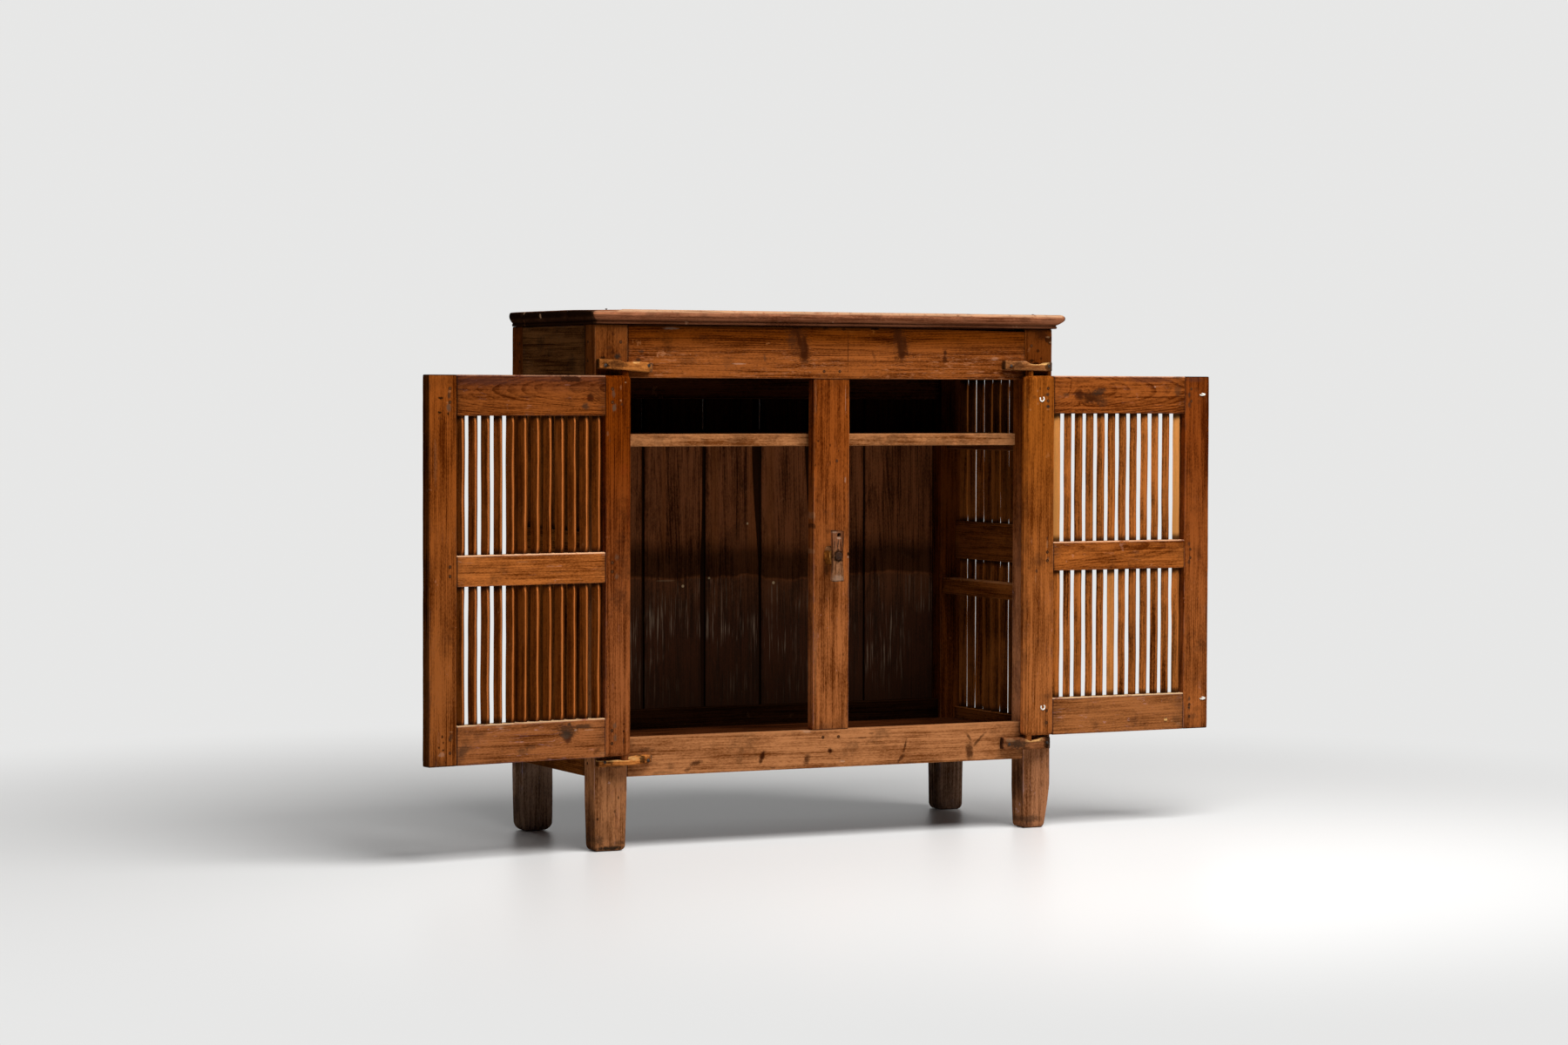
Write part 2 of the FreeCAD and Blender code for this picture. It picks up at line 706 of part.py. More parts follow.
def door_pieces(side, setback, hinge_stile, width, height):
    """A door lying closed in its own frame: X from the pivot to the free edge, Y to the case, Z from its foot."""
    half = door_thickness / 2
    left = -setback
    right = width - setback
    depth = (-half, half)
    inner_left = left + hinge_stile
    inner_right = right - free_stile_width
    mid_low = height * door_mid_rail_share
    mid_high = mid_low + door_mid_rail_height
    levels = {"top": (height - door_top_rail_height, height),
              "mid": (mid_low, mid_high),
              "bottom": (0, door_bottom_rail_height)}
    pieces = {}
    stile = block((left, inner_left), depth, (0, height))
    rolled = edges_along(stile, 2, (left, None, None), edge_round)
    stile = stile.makeFillet(hinge_edge_round, rolled)
    shoulders = edges_along(stile, 1, (left, None, None), edge_round)
    stile = stile.makeFillet(hinge_shoulder_round, shoulders)
    others = [edge for edge in stile.Edges if edge.BoundBox.XMin > inner_left - edge_round / 2]
    stile = stile.makeFillet(edge_round, others)
    gaps = {"left": bottom_left_block_gap, "right": bottom_right_block_gap}
    foot = gaps[side] + pintle_seat_depth - pintle_play
    head = top_block_gap + pintle_seat_depth - pintle_play
    pintle = Part.makeCylinder(pintle_diameter / 2, foot + height + head, point(0, 0, -foot))
    pieces["hinge_stile"] = stile.fuse(pintle).removeSplitter()
    pieces["free_stile"] = eased((inner_right, right), depth, (0, height), edge_round)
    tongues = []
    for level, heights in levels.items():
        pieces[level + "_rail"], tongue = with_tenons((inner_left, inner_right), depth, heights, 0, 2)
        tongues.append(tongue)
    pitch = (inner_right - inner_left) / door_bar_count
    places = [inner_left + (index + 0.5) * pitch for index in range(door_bar_count)]
    tiers = {"upper": (mid_high, levels["top"][0]), "lower": (levels["bottom"][1], mid_low)}
    bar_size = {"left": left_door_bar_size, "right": right_door_bar_size}[side]
    for tier, (low, high) in tiers.items():
        pieces[tier + "_bars"] = joined([bar(x, 0, low, high, bar_size, 0) for x in places])
    for stile_name in ("hinge_stile", "free_stile"):
        pieces[stile_name] = cut_all(pieces[stile_name], tongues)
    for tier, rails in (("upper", ("top_rail", "mid_rail")), ("lower", ("mid_rail", "bottom_rail"))):
        for rail in rails:
            pieces[rail] = cut_all(pieces[rail], pieces[tier + "_bars"].Solids)
    pegs = []
    for low, high in levels.values():
        for x in (inner_left - tenon_length / 2, inner_right + tenon_length / 2):
            for z in peg_levels(low, high):
                start = point(x, -half - peg_proud, z)
                pegs.append(Part.makeCylinder(peg_diameter / 2, door_thickness + 2 * peg_proud, start, point(0, 1, 0)))
    for name in ("hinge_stile", "free_stile", "top_rail", "mid_rail", "bottom_rail"):
        pieces[name] = cut_all(pieces[name], pegs)
    pieces["pegs"] = joined(pegs)
    if side == "right":
        eyes = [door_eye(left + low_hinge_eye_from_edge, half, low_hinge_eye_from_end),
                door_eye(left + high_hinge_eye_from_edge, half, height - high_hinge_eye_from_end),
                door_eye(right - low_free_eye_from_edge, half, low_free_eye_from_end),
                door_eye(right - high_free_eye_from_edge, half, height - high_free_eye_from_end)]
        plug = Part.makeCylinder(plug_diameter / 2, plug_depth + peg_proud,
                                 point(right - plug_from_free_edge, half + peg_proud, plug_from_door_bottom),
                                 point(0, -1, 0))
        for name in ("hinge_stile", "free_stile"):
            pieces[name] = cut_all(pieces[name], eyes)
        pieces["bottom_rail"] = pieces["bottom_rail"].cut(plug)
        pieces["curtain_eyes"] = joined(eyes)
        pieces["bottom_rail_plug"] = plug
    return pieces


def make_door(side):
    """A door swung open about its pivots, as it stands at rest."""
    low, high = door_levels(side)
    if side == "left":
        width = left_pivot_setback - left_pivot_x - door_free_edge
        pieces = door_pieces(side, left_pivot_setback, left_hinge_stile_width, width, high - low)
    else:
        width = right_pivot_setback + right_pivot_x - door_free_edge
        pieces = door_pieces(side, right_pivot_setback, right_hinge_stile_width, width, high - low)
    pivot = {"left": left_pivot_x, "right": right_pivot_x}[side]
    swing = {"left": -left_door_open_angle, "right": right_door_open_angle}[side]
    for name, shape in pieces.items():
        if side == "right":
            shape = shape.mirror(point(0, 0, 0), point(1, 0, 0))
        shape.rotate(point(0, 0, 0), point(0, 0, 1), swing)
        shape.translate(point(pivot, pivot_y, low))
        nodes[side + "_door_" + name] = shape


def join_case():
    """Cut every mortise and socket with the piece that goes into it."""
    for name in ("front_top_rail", "front_bottom_rail"):
        cut_by(name, [tenons["centre_mullion"]])
    for side in ("left", "right"):
        bars = [solid for tier in ("upper", "lower") for solid in nodes[side + "_side_" + tier + "_bars"].Solids]
        for level in ("top", "mid", "bottom"):
            cut_by(side + "_side_" + level + "_rail", bars)
    for name in ("front_left_post", "front_right_post", "back_left_post", "back_right_post"):
        cut_by(name, tenons.values())


def build():
    make_posts()
    make_front_frame()
    make_back_frame()
    for side, name in ((-1, "left"), (1, "right")):
        make_side_rails(side, name)
        make_side_bars(side, name)
        make_shelf_supports(side, name)
    join_case()
    make_case_pegs()
    make_shelf()
    make_floor_boards()
    make_back_boards()
    make_board_nails()
    make_top_nails(make_top())
    make_pivot_blocks()
    make_turn_button()
    for side in ("left", "right"):
        make_door(side)


build()
for node_name, node_shape in nodes.items():
    node_shape.exportStep("parts/" + node_name + ".step")
print("nodes", len(nodes))
for node_name, node_shape in nodes.items():
    if not node_shape.isValid():
        print("not valid", node_name)
print("left pivot", round(left_pivot_x, 3), round(pivot_y, 3), "right pivot", round(right_pivot_x, 3))
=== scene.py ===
import bpy
import bmesh
import json
import math
from mathutils import Euler, Matrix, Vector, noise


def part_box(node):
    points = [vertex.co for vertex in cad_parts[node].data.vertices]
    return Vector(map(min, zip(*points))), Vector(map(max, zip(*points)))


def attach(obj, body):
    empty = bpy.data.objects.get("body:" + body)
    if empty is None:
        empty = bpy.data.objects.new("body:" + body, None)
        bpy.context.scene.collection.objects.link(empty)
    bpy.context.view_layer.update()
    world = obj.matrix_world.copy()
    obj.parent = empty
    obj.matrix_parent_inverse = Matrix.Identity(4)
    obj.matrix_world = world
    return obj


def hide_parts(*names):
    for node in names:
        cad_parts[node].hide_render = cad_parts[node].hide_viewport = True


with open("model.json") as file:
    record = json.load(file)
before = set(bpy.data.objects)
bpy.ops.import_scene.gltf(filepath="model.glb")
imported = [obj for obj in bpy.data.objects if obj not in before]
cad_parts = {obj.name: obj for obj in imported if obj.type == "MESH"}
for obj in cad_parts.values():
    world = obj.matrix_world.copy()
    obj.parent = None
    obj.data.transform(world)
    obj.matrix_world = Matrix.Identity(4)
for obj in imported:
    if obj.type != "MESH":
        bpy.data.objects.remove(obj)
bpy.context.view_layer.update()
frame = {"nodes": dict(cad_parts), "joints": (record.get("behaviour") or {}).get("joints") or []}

# Lengths are metres. X runs along the front, Y to the back and Z up, as in the frame.

# Camera, as fitted to the photograph
CAMERA_PLACE = (-3.25752, -6.56581, 0.85084)
CAMERA_TURN = math.radians(26.4035)
CAMERA_PITCH = math.radians(-1.98495)
CAMERA_ROLL = math.radians(0.18145)
CAMERA_LENS = 86.6
SENSOR = 36.0

# Light
KEY_PLACE = (0.45, -2.05, 3.40)
KEY_AIM = (0.0, -0.25, 0.35)
KEY_SIZE = (3.0, 2.2)
KEY_POWER = 205.0
FILL_LEVEL = 0.035
BACKDROP = (0.80, 0.80, 0.795)
FLOOR = (0.84, 0.832, 0.82)
FLOOR_REACH = 14.0
FLOOR_FADE = (0.95, 2.5)

# Finishes of old pine, as linear colours
HONEY = {"Pale": (0.24, 0.071, 0.0125), "Dark": (0.05, 0.0098, 0.0008)}
DOOR = {"Pale": (0.262, 0.078, 0.011), "Dark": (0.066, 0.0135, 0.0009)}
RAIL = {"Pale": (0.4, 0.165, 0.06), "Dark": (0.12, 0.034, 0.0068)}
INSIDE = {"Pale": (0.155, 0.048, 0.014), "Dark": (0.026, 0.0062, 0.0015)}
GOLD = {"Pale": (0.42, 0.175, 0.035), "Dark": (0.11, 0.032, 0.004), "Worn": (0.72, 0.4, 0.14)}
TAN = {"Pale": (0.36, 0.17, 0.07), "Dark": (0.12, 0.045, 0.014), "Worn": (0.72, 0.4, 0.14)}
BUTTON = {"Pale": (0.25, 0.115, 0.055), "Dark": (0.085, 0.03, 0.01), "Worn": (0.36, 0.21, 0.14)}
TOP = {"Pale": (0.3, 0.128, 0.058), "Dark": (0.105, 0.032, 0.01), "Worn": (0.52, 0.3, 0.17)}
HONEY_WORN = (0.36, 0.155, 0.06)
# Bars: the left door's take a darker copy of the pine, painted shade, and the pale along their ridges is wear and
# painted highlight
BAR_SHADED = (0.175, 0.044, 0.0062)
BAR_WARM = (0.52, 0.16, 0.03)
BAR_PALE = (0.75, 0.33, 0.085)
BAR_WEAR_AND_HIGHLIGHT = (0.55, 0.165, 0.038)
PEG_PALE = (0.11, 0.04, 0.014)
PEG_DARK = (0.038, 0.014, 0.006)
CHALK = (0.22, 0.15, 0.1)
ASH = (0.036, 0.021, 0.013)
BACK_LIGHT = (0.62, 0.46, 0.26)
BACK_SAP = (0.235, 0.075, 0.02)
HANDLING = (0.06, 0.036, 0.024)
KNOT_COLOUR = (0.03, 0.0068, 0.0016)
# Dark grime; the same colour paints shade above the shelf, in the sunk strips of the back boards and on the top's left
# end
GRIME_AND_SHADE = (0.012, 0.005, 0.0022)
LIP = (0.56, 0.32, 0.18)
IRON = (0.016, 0.012, 0.01)
IRON_GREY = (0.06, 0.046, 0.038)
RUST = (0.06, 0.024, 0.011)
WIRE = (0.84, 0.81, 0.74)
OLD_WIRE = (0.6, 0.55, 0.45)
DAYLIGHT = (0.84, 0.81, 0.74)
BLUE_OF_PALE_WOOD = (0.02, 0.08)
MARK_COLOURS = {"dark": KNOT_COLOUR, "ash": (0.030, 0.017, 0.010), "grey": (0.085, 0.050, 0.030),
                "hole": (0.005, 0.0024, 0.0012), "chip": (0.50, 0.28, 0.14), "chalk": (0.72, 0.56, 0.42),
                "red": (0.150, 0.020, 0.004), "smear": (0.038, 0.0115, 0.0040), "purple": (0.075, 0.024, 0.014)}
MARK_SHARES = {"dark": 1.3, "ash": 1.25, "grey": 1.0, "hole": 1.1, "chip": 0.3, "chalk": 0.2, "red": 0.4,
               "smear": 1.0, "purple": 1.0}

# Marks that tell each board apart. For every mark, in millimetres: its place across and up the face, half its
# width and height, its lean in hundredths of a radian if it leans, its kind, and its strength in hundredths.
MARKS = {
    "front_top_rail": (
        (-67, 942, 25, 42, -20, "smear", 55), (-73, 966, 14, 12, "dark", 50), (-66, 950, 6, 24, -25, "dark", 72),
        (-52, 938, 5, 22, -25, "dark", 65), (-54, 919, 15, 10, "dark", 65), (-53, 908, 17, 6, "smear", 60),
        (-83, 948, 11, 14.8, "smear", 45), (151, 942, 22, 38, -12, "smear", 50), (143, 962, 12, 16, -11, "dark", 65),
        (147, 944, 5, 20, -17, "dark", 60), (161, 940, 5, 18, -17, "dark", 60), (158, 923, 13, 8, 40, "dark", 55),
        (142, 916, 7.5, 5, "dark", 40), (248, 914, 6.5, 8, "dark", 65), (248, 929, 5.7, 10, "smear", 40),
        (-264, 952, 14.3, 4.9, "dark", 45), (-192, 903, 14.5, 1.5, "chalk", 70), (-297, 908, 25, 9.7, "smear", 35),
        (-214, 906, 16.2, 14.6, "smear", 30), (-392, 924, 7.1, 4, "ash", 55), (-398, 909, 6.2, 4.8, "ash", 60),
        (38, 930, 1.5, 49.6, "dark", 50), (95, 971, 11.2, 2, "hole", 80), (-10, 971, 5.6, 2.6, "hole", 60),
        (29, 970, 5.6, 2.6, "hole", 60), (-138, 914, 3.6, 8.2, "ash", 40), (93, 921, 3.8, 9.9, -34, "dark", 35),
        (358, 916, 7.7, 3.4, 57, "chalk", 40), (-332, 968, 16, 2.3, "chalk", 30), (403, 918, 15.6, 2, "dark", 40)),
    "front_left_post": (
        (-450, 922, 5.3, 4.8, "dark", 55), (-440, 915, 7.9, 6.4, "ash", 80), (-470, 912, 5.2, 4, "hole", 70),
        (-449, 956, 3.5, 4.8, "dark", 50), (-459, 931, 7, 4.8, "smear", 50), (-440, 158, 12.3, 4.8, "ash", 50),
        (-479, 61, 2.4, 2.4, "hole", 70), (-444, 74, 2.1, 3.2, "hole", 60), (-437, 99, 2.1, 3.2, "hole", 60),
        (-433, 16, 15.9, 4.9, "ash", 40), (-454, 6, 35.2, 4.9, "ash", 80), (-468, 38, 24, 30, 20, "smear", 30),
        (-440, 62, 9, 26, "red", 22), (-476, 22, 12, 11, "ash", 45), (-446, 112, 20, 9, "red", 20)),
    "front_right_post": (
        (465, 961, 13.7, 10.2, -35, "dark", 62), (481, 953, 9.8, 8.5, "hole", 60), (477, 959, 4.9, 2, "chip", 60),
        (483, 949, 3.9, 1.7, "chip", 60), (455, 932, 3.9, 3.4, "hole", 60), (461, 917, 2.9, 2.5, "hole", 50),
        (440, 913, 5.9, 3.4, "hole", 70), (450, 908, 7.8, 2.7, "hole", 70), (457, 973, 11.8, 5.1, "smear", 50),
        (441, 18, 31.4, 8.5, "ash", 50), (468, 86, 5.9, 8.6, "smear", 30), (433, 62, 5.9, 5.1, "smear", 35)),
    "centre_mullion": (
        (-25, 758, 2.2, 1.5, "hole", 70), (1, 750, 1.9, 4.3, "dark", 55), (15, 720, 3, 3.6, "ash", 60),
        (-29, 821, 1.3, 8.2, "dark", 45), (1, 716, 1.5, 5, "dark", 50), (-31, 712, 2.2, 3.3, "dark", 45),
        (33, 835, 0.9, 26.5, "chalk", 50), (33, 684, 1.9, 5, "chalk", 60), (-32, 597, 3, 5.8, "hole", 60),
        (-33, 617, 2.8, 6.6, "chip", 60), (-34, 549, 3, 5, "chip", 60), (40, 543, 2.6, 3.3, "hole", 80),
        (40, 537, 2.2, 2, "chalk", 90), (-8, 512, 5.6, 14.9, "smear", 60), (-4, 587, 5.6, 6.6, "smear", 35),
        (9, 482, 14.9, 6.6, "smear", 30), (-30, 435, 1.5, 5, "dark", 50), (30, 352, 1.9, 5, "dark", 45),
        (32, 271, 1.9, 5, "dark", 30), (-11, 289, 1.5, 5, "dark", 30), (-20, 856, 3.7, 3.3, "dark", 35),
        (-30, 841, 1.1, 36.2, "chip", 35), (-29, 339, 2.2, 99.3, "chip", 25)),
    "front_bottom_rail": (
        (-279, 157, 12.6, 6.5, 99, "dark", 62), (-296, 145, 7.2, 4.9, 66, "dark", 40),
        (-141, 163, 6.2, 14.8, 33, "dark", 75), (-47, 154, 7.4, 13.2, 28, "dark", 62), (3, 169, 6.7, 5.6, "dark", 78),
        (164, 171, 3.4, 15.1, 23, "dark", 60), (155, 148, 5.7, 11.7, 79, "dark", 55),
        (306, 157, 9.5, 22, -6, "dark", 62), (327, 178, 5, 16.9, 103, "dark", 55),
        (304, 184, 4.5, 8.5, -68, "dark", 55), (29, 148, 5.6, 2.3, -67, "chalk", 70),
        (-47, 207, 9.2, 2.5, -45, "chalk", 60), (72, 191, 13.1, 2.2, "dark", 40), (91, 199, 7.5, 2, "dark", 40),
        (-119, 141, 5.5, 1.6, "hole", 50), (-330, 153, 8.9, 8.1, "smear", 35), (-384, 186, 21.3, 5.5, "smear", 65),
        (-375, 160, 21.3, 4.1, "smear", 35), (-348, 142, 28.5, 3.3, "ash", 30)),
    "left_door_free_stile": (
        (393, 838, 5.3, 2.8, "hole", 80), (376, 843, 4.6, 7.8, "ash", 60), (377, 821, 5, 8.5, "grey", 80),
        (378, 810, 2.1, 3.1, "hole", 80), (396, 812, 4.2, 2.2, "hole", 80), (375, 850, 3.5, 3.1, "chip", 40),
        (379, 830, 3.5, 1.9, "chip", 40), (395, 802, 5.3, 3.9, "smear", 40), (390, 233, 2.1, 3.1, "hole", 70),
        (388, 222, 1.8, 2.3, "hole", 60), (397, 214, 2.5, 2.2, "hole", 60), (388, 209, 2.7, 1.6, "hole", 70),
        (391, 201, 7.1, 3.9, "chalk", 50), (372, 232, 4.6, 7.8, "ash", 50), (372, 241, 4.5, 1.2, "chip", 50),
        (368, 207, 3.6, 10.9, "smear", 40), (404, 725, 3.5, 46.5, "chip", 18)),
    "left_door_top_rail": (
        (297, 869, 79.1, 10.1, "purple", 55), (151, 873, 110.4, 6.3, "purple", 40),
        (122, 873, 24, 6.3, 58, "hole", 62), (146, 877, 11.1, 2.2, "smear", 50), (105, 878, 3.7, 1.9, "chip", 80),
        (114, 859, 29.6, 11.1, "smear", 30), (92, 823, 10.2, 7.1, "ash", 60), (72, 848, 13.1, 15.9, 47, "smear", 30),
        (53, 872, 13.1, 4.8, 47, "smear", 50), (219, 841, 21.8, 3.1, "smear", 25),
        (297, 822, 18, 2.2, 46, "dark", 25), (87, 838, 14.9, 1.9, "red", 40)),
    "left_door_mid_rail": (
        (297, 533, 21.6, 1.6, "dark", 30), (151, 523, 25.8, 1.9, "dark", 30), (331, 529, 14.3, 9.4, "smear", 25),
        (224, 542, 14.6, 1.3, "chip", 35)),
    "left_door_bottom_rail": (
        (132, 224, 15, 10.5, "dark", 50), (133, 223, 12, 8.6, "grey", 70), (130, 232, 25, 14, 25, "ash", 60),
        (125, 243, 5.6, 4.1, "ash", 65), (95, 238, 24.2, 5.8, 12, "ash", 60), (112, 232, 3, 1.9, "chalk", 80),
        (84, 231, 11.2, 1.3, "chalk", 50), (224, 198, 16.4, 7.9, "ash", 40), (206, 205, 14.6, 5.4, "ash", 35),
        (347, 206, 14.3, 14.1, -46, "ash", 50), (342, 222, 14.3, 7.8, "smear", 30),
        (271, 246, 8.1, 4.7, 57, "chip", 55), (156, 235, 14.8, 1.4, 174, "dark", 50),
        (219, 242, 7.3, 1.4, -139, "dark", 40), (242, 231, 40, 6.3, "red", 18), (67, 192, 7.5, 8, -94, "dark", 35),
        (54, 185, 9.4, 4.8, "chip", 30)),
    "left_door_hinge_stile": (
        (32, 847, 4.5, 9.6, "grey", 60), (30, 821, 5.3, 9.6, "grey", 80), (16, 834, 2.6, 2.2, "chip", 80),
        (14, 827, 2.3, 4, "ash", 50), (6, 867, 2.3, 1.6, "chip", 90), (16, 858, 1.9, 4.8, "chip", 40),
        (0, 784, 5.7, 1.6, 141, "dark", 50), (8, 706, 11.3, 14.4, "red", 45), (-2, 634, 5.7, 64.1, "red", 30),
        (28, 236, 4.5, 6.4, "grey", 60), (27, 214, 4.5, 8, "grey", 70), (9, 225, 2.3, 1.6, "hole", 80),
        (9, 238, 1.9, 1.6, "hole", 60), (9, 207, 1.5, 6.4, "ash", 60), (40, 762, 1.9, 6.4, "ash", 40),
        (24, 546, 5.6, 6.4, "grey", 50), (24, 511, 5.6, 6.4, "grey", 50), (44, 773, 2.6, 4.8, "chip", 30)),
    "right_door_hinge_stile": (
        (34, 847, 4.4, 4.4, "ash", 70), (35, 824, 5.2, 4.1, "ash", 80), (35, 818, 4, 1.4, "chip", 50),
        (5, 842, 5.9, 4.2, "smear", 35), (11, 854, 1.6, 2.4, "chip", 50), (12, 830, 1.6, 2.4, "chip", 50),
        (-5, 818, 2, 1.7, "chip", 50), (17, 859, 2.4, 4.1, "dark", 50), (27, 788, 1.4, 2.7, "dark", 40),
        (35, 556, 2.4, 8.5, "chip", 50), (35, 568, 2, 5.1, "ash", 50), (37, 527, 3.2, 5.1, "grey", 60),
        (11, 504, 3.2, 5.1, "ash", 60), (9, 489, 1.6, 8.5, "chip", 40), (39, 245, 2, 13.6, "smear", 40),
        (33, 208, 6, 10.2, "ash", 30), (40, 310, 1.6, 10.2, "smear", 40), (5, 260, 1.4, 13.6, "chip", 30)),
    "right_door_free_stile": (
        (364, 848, 4.1, 6.2, "ash", 60), (365, 827, 4.6, 6.9, "ash", 50), (382, 858, 8.3, 5.9, "smear", 35),
        (387, 833, 6.2, 6.9, "smear", 25), (369, 243, 3.7, 4.5, "ash", 60), (369, 225, 4.2, 5.2, "ash", 75),
        (369, 235, 1.5, 10.4, "chip", 30), (375, 208, 16.7, 8.7, "ash", 30), (388, 222, 10.4, 7, "smear", 30),
        (408, 254, 2.1, 10.5, "dark", 40), (378, 878, 20.8, 6.9, "purple", 40), (366, 551, 4.2, 5.9, "ash", 50),
        (366, 516, 4.2, 5.9, "ash", 50)),
    "right_door_top_rail": (
        (138, 842, 36, 15, -40, "smear", 80), (130, 838, 20, 9, "dark", 55), (153, 853, 18.2, 8, 83, "ash", 60),
        (161, 830, 14.2, 10.2, "ash", 30), (77, 847, 9, 4.4, "ash", 50), (271, 877, 73.8, 7.7, "purple", 50),
        (337, 855, 10.3, 13.8, "ash", 40), (283, 863, 2.1, 1.7, "chalk", 80), (337, 882, 14.5, 2.8, "ash", 50),
        (101, 849, 16, 3.4, -24, "smear", 40), (191, 870, 14.2, 2.2, 107, "dark", 35),
        (109, 875, 32.1, 5.1, "smear", 25)),
    "right_door_mid_rail": (
        (131, 542, 32.3, 1.7, "dark", 30), (253, 527, 28.7, 1.7, "dark", 25), (325, 536, 12.4, 10.4, "smear", 25)),
    # On the button, the first mark, a dark oval round the nail head, paints the nail's shadow
    "turn_button": (
        (0, 541, 10.5, 14, "hole", 80), (1, 581, 4.2, 4.4, "hole", 80), (1, 575, 4.6, 2.2, "chalk", 100),
        (-8, 562, 1.6, 15, "ash", 70), (-1, 564, 1.6, 11, 12, "ash", 80), (5, 560, 1.8, 12, -10, "dark", 70),
        (9, 568, 1.5, 14, "ash", 60), (-6, 520, 1.4, 12, "dark", 60), (6, 516, 1.4, 16, "dark", 50),
        (1, 508, 1.5, 10, "ash", 50), (0, 498, 12, 8, "chalk", 60), (-10, 586, 9, 1.6, "chalk", 60)),
    "turn_button_spacer": (
        (-9, 554, 6, 4.2, "chip", 120), (-11, 541, 1.6, 12, "dark", 50), (-4, 530, 6, 3, "ash", 60),
        (-2, 545, 4, 16, "dark", 70)),
    "top_left_pivot_block": (
        (-452, 900, 24, 10, "smear", 75), (-470, 899, 5, 4.5, "hole", 75), (-381, 904, 4, 4, "hole", 60)),
    "bottom_left_pivot_block": (
        (-462, 169, 6, 6, "hole", 60), (-455, 161, 26, 3, "smear", 55), (-398, 171, 7, 8, "hole", 75),
        (-386, 163, 8, 5, "smear", 50)),
    "top_right_pivot_block": (
        (398, 903, 18, 8, "smear", 70), (470, 903, 12, 12, "hole", 60), (386, 899, 6, 5, "dark", 60),
        (420, 911, 22, 2, "chip", 60)),
    "bottom_right_pivot_block": (
        (400, 168, 26, 11, "ash", 70), (386, 176, 9, 4, "chip", 60), (418, 160, 9, 4, "smear", 60),
        (470, 168, 10, 12, "hole", 70)),
    "right_door_bottom_rail": (
        (338, 203, 14.5, 10.4, "ash", 32), (344, 194, 6.2, 3.1, "chip", 40), (328, 200, 2.5, 1.7, "chip", 70),
        (338, 238, 18.7, 10.4, 48, "smear", 30), (97, 229, 28.2, 1.7, "dark", 25), (214, 218, 36.7, 1.7, "dark", 20)),
}

# How each board is tinted: between two levels, its colour at its foot and, where that differs, at its head. The tints
# also paint light and shade: most pieces darker at the head, in the shade of the top, and lighter at the foot, where
# light from the floor reaches; the back boards darker low down and the pieces deep in the case darker, where shade
# falls.
TINTS_AND_PAINTED_LIGHT = {
    "front_left_post": (0.2, 0.8, (1.37, 1.88, 4.16), (0.74, 0.7, 0.78)),
    "front_right_post": (0.15, 0.8, (1.42, 1.98, 4.92), (0.43, 0.35, 0.28)),
    "back_left_post": (0.115, 0.165, (1.29, 2.65, 10), (0.55, 0.45, 0.4)),
    "back_right_post": (0.115, 0.165, (1.37, 2.7, 10), (0.55, 0.45, 0.4)),
    "left_door_mid_rail": (0.5, 0.56, (1.51, 1.52, 2.17)),
    "left_door_bottom_rail": (0.2, 0.26, (1.16, 1.3, 2.78)),
    "left_door_hinge_stile": (0.25, 0.8, (1.04, 1.04, 2.04), (0.55, 0.35, 0.15)),
    "left_door_free_stile": (0.25, 0.8, (0.99, 0.97, 1.46), (0.88, 0.73, 0.71)),
    "right_door_top_rail": (0.8, 0.88, (1.01, 0.89, 1.13)),
    "right_door_mid_rail": (0.5, 0.56, (1.37, 1.31, 1.67)),
    "right_door_bottom_rail": (0.2, 0.26, (1.25, 1.46, 3.05)),
    "right_door_hinge_stile": (0.25, 0.8, (1.37, 1.46, 2.59), (0.99, 0.88, 0.71)),
    "right_door_free_stile": (0.25, 0.8, (1.27, 1.25, 2.04), (0.77, 0.57, 0.59)),
    "centre_mullion": (0.3, 0.8, (1.26, 1.36, 2.69), (0.84, 0.66, 0.65)),
    "front_bottom_rail": (0.1, 0.2, (1.04, 1, 1.01)),
    "shelf": (0.7, 0.75, (0.98, 0.97, 0.99)),
    "back board": (0.38, 0.52, (0.38, 0.28, 0.3), (1.59, 1.75, 2.13)),
    "left_side_top_rail": (0.8, 0.9, (0.99, 1.28, 2.1)),
    "top_front_board": (0.9, 1, (1.19, 1.05, 1.14)),
    "front_top_rail": (0.914, 0.957, (1.05, 0.98, 1.1), (0.47, 0.35, 0.15)),
    "left_door_top_rail": (0.835, 0.874, (0.81, 0.72, 0.92), (0.58, 0.5, 0.95)),
    "back_bottom_rail": (0.1, 0.2, (0.1, 0.1, 0.1)),
    "floor": (0.1, 0.2, (0.5, 0.42, 0.4)),
    "top_left_pivot_block": (0.8, 0.9, (0.98, 0.8, 0.85)),
    "top_right_pivot_block": (0.8, 0.9, (1.05, 0.85, 0.66)),
    "bottom_left_pivot_block": (0.1, 0.2, (1.45, 1.22, 1.4)),
    "bottom_right_pivot_block": (0.1, 0.2, (0.62, 0.54, 1)),
    "turn_button_spacer": (0.52, 0.57, (1.25, 1.15, 1)),
    "turn_button": (0.52, 0.57, (1.01, 0.96, 0.91), (0.87, 0.71, 0.64)),
}

# Wood
RING_WIDTH = 0.0036
GRAIN_RELIEF = 0.0005
EDGE_SOFTNESS = 0.0016
FACE_HOLLOW = 0.0004
FACE_EDGE = 0.0012
KNOTS_PER_METRE = 7.0
HOLES_PER_METRE = 46.0
STATION = 0.014

# How far the worn boards of a free stile stay inside its solid
FACE_ROOM = 0.0001
EDGE_ROOM = 0.0003

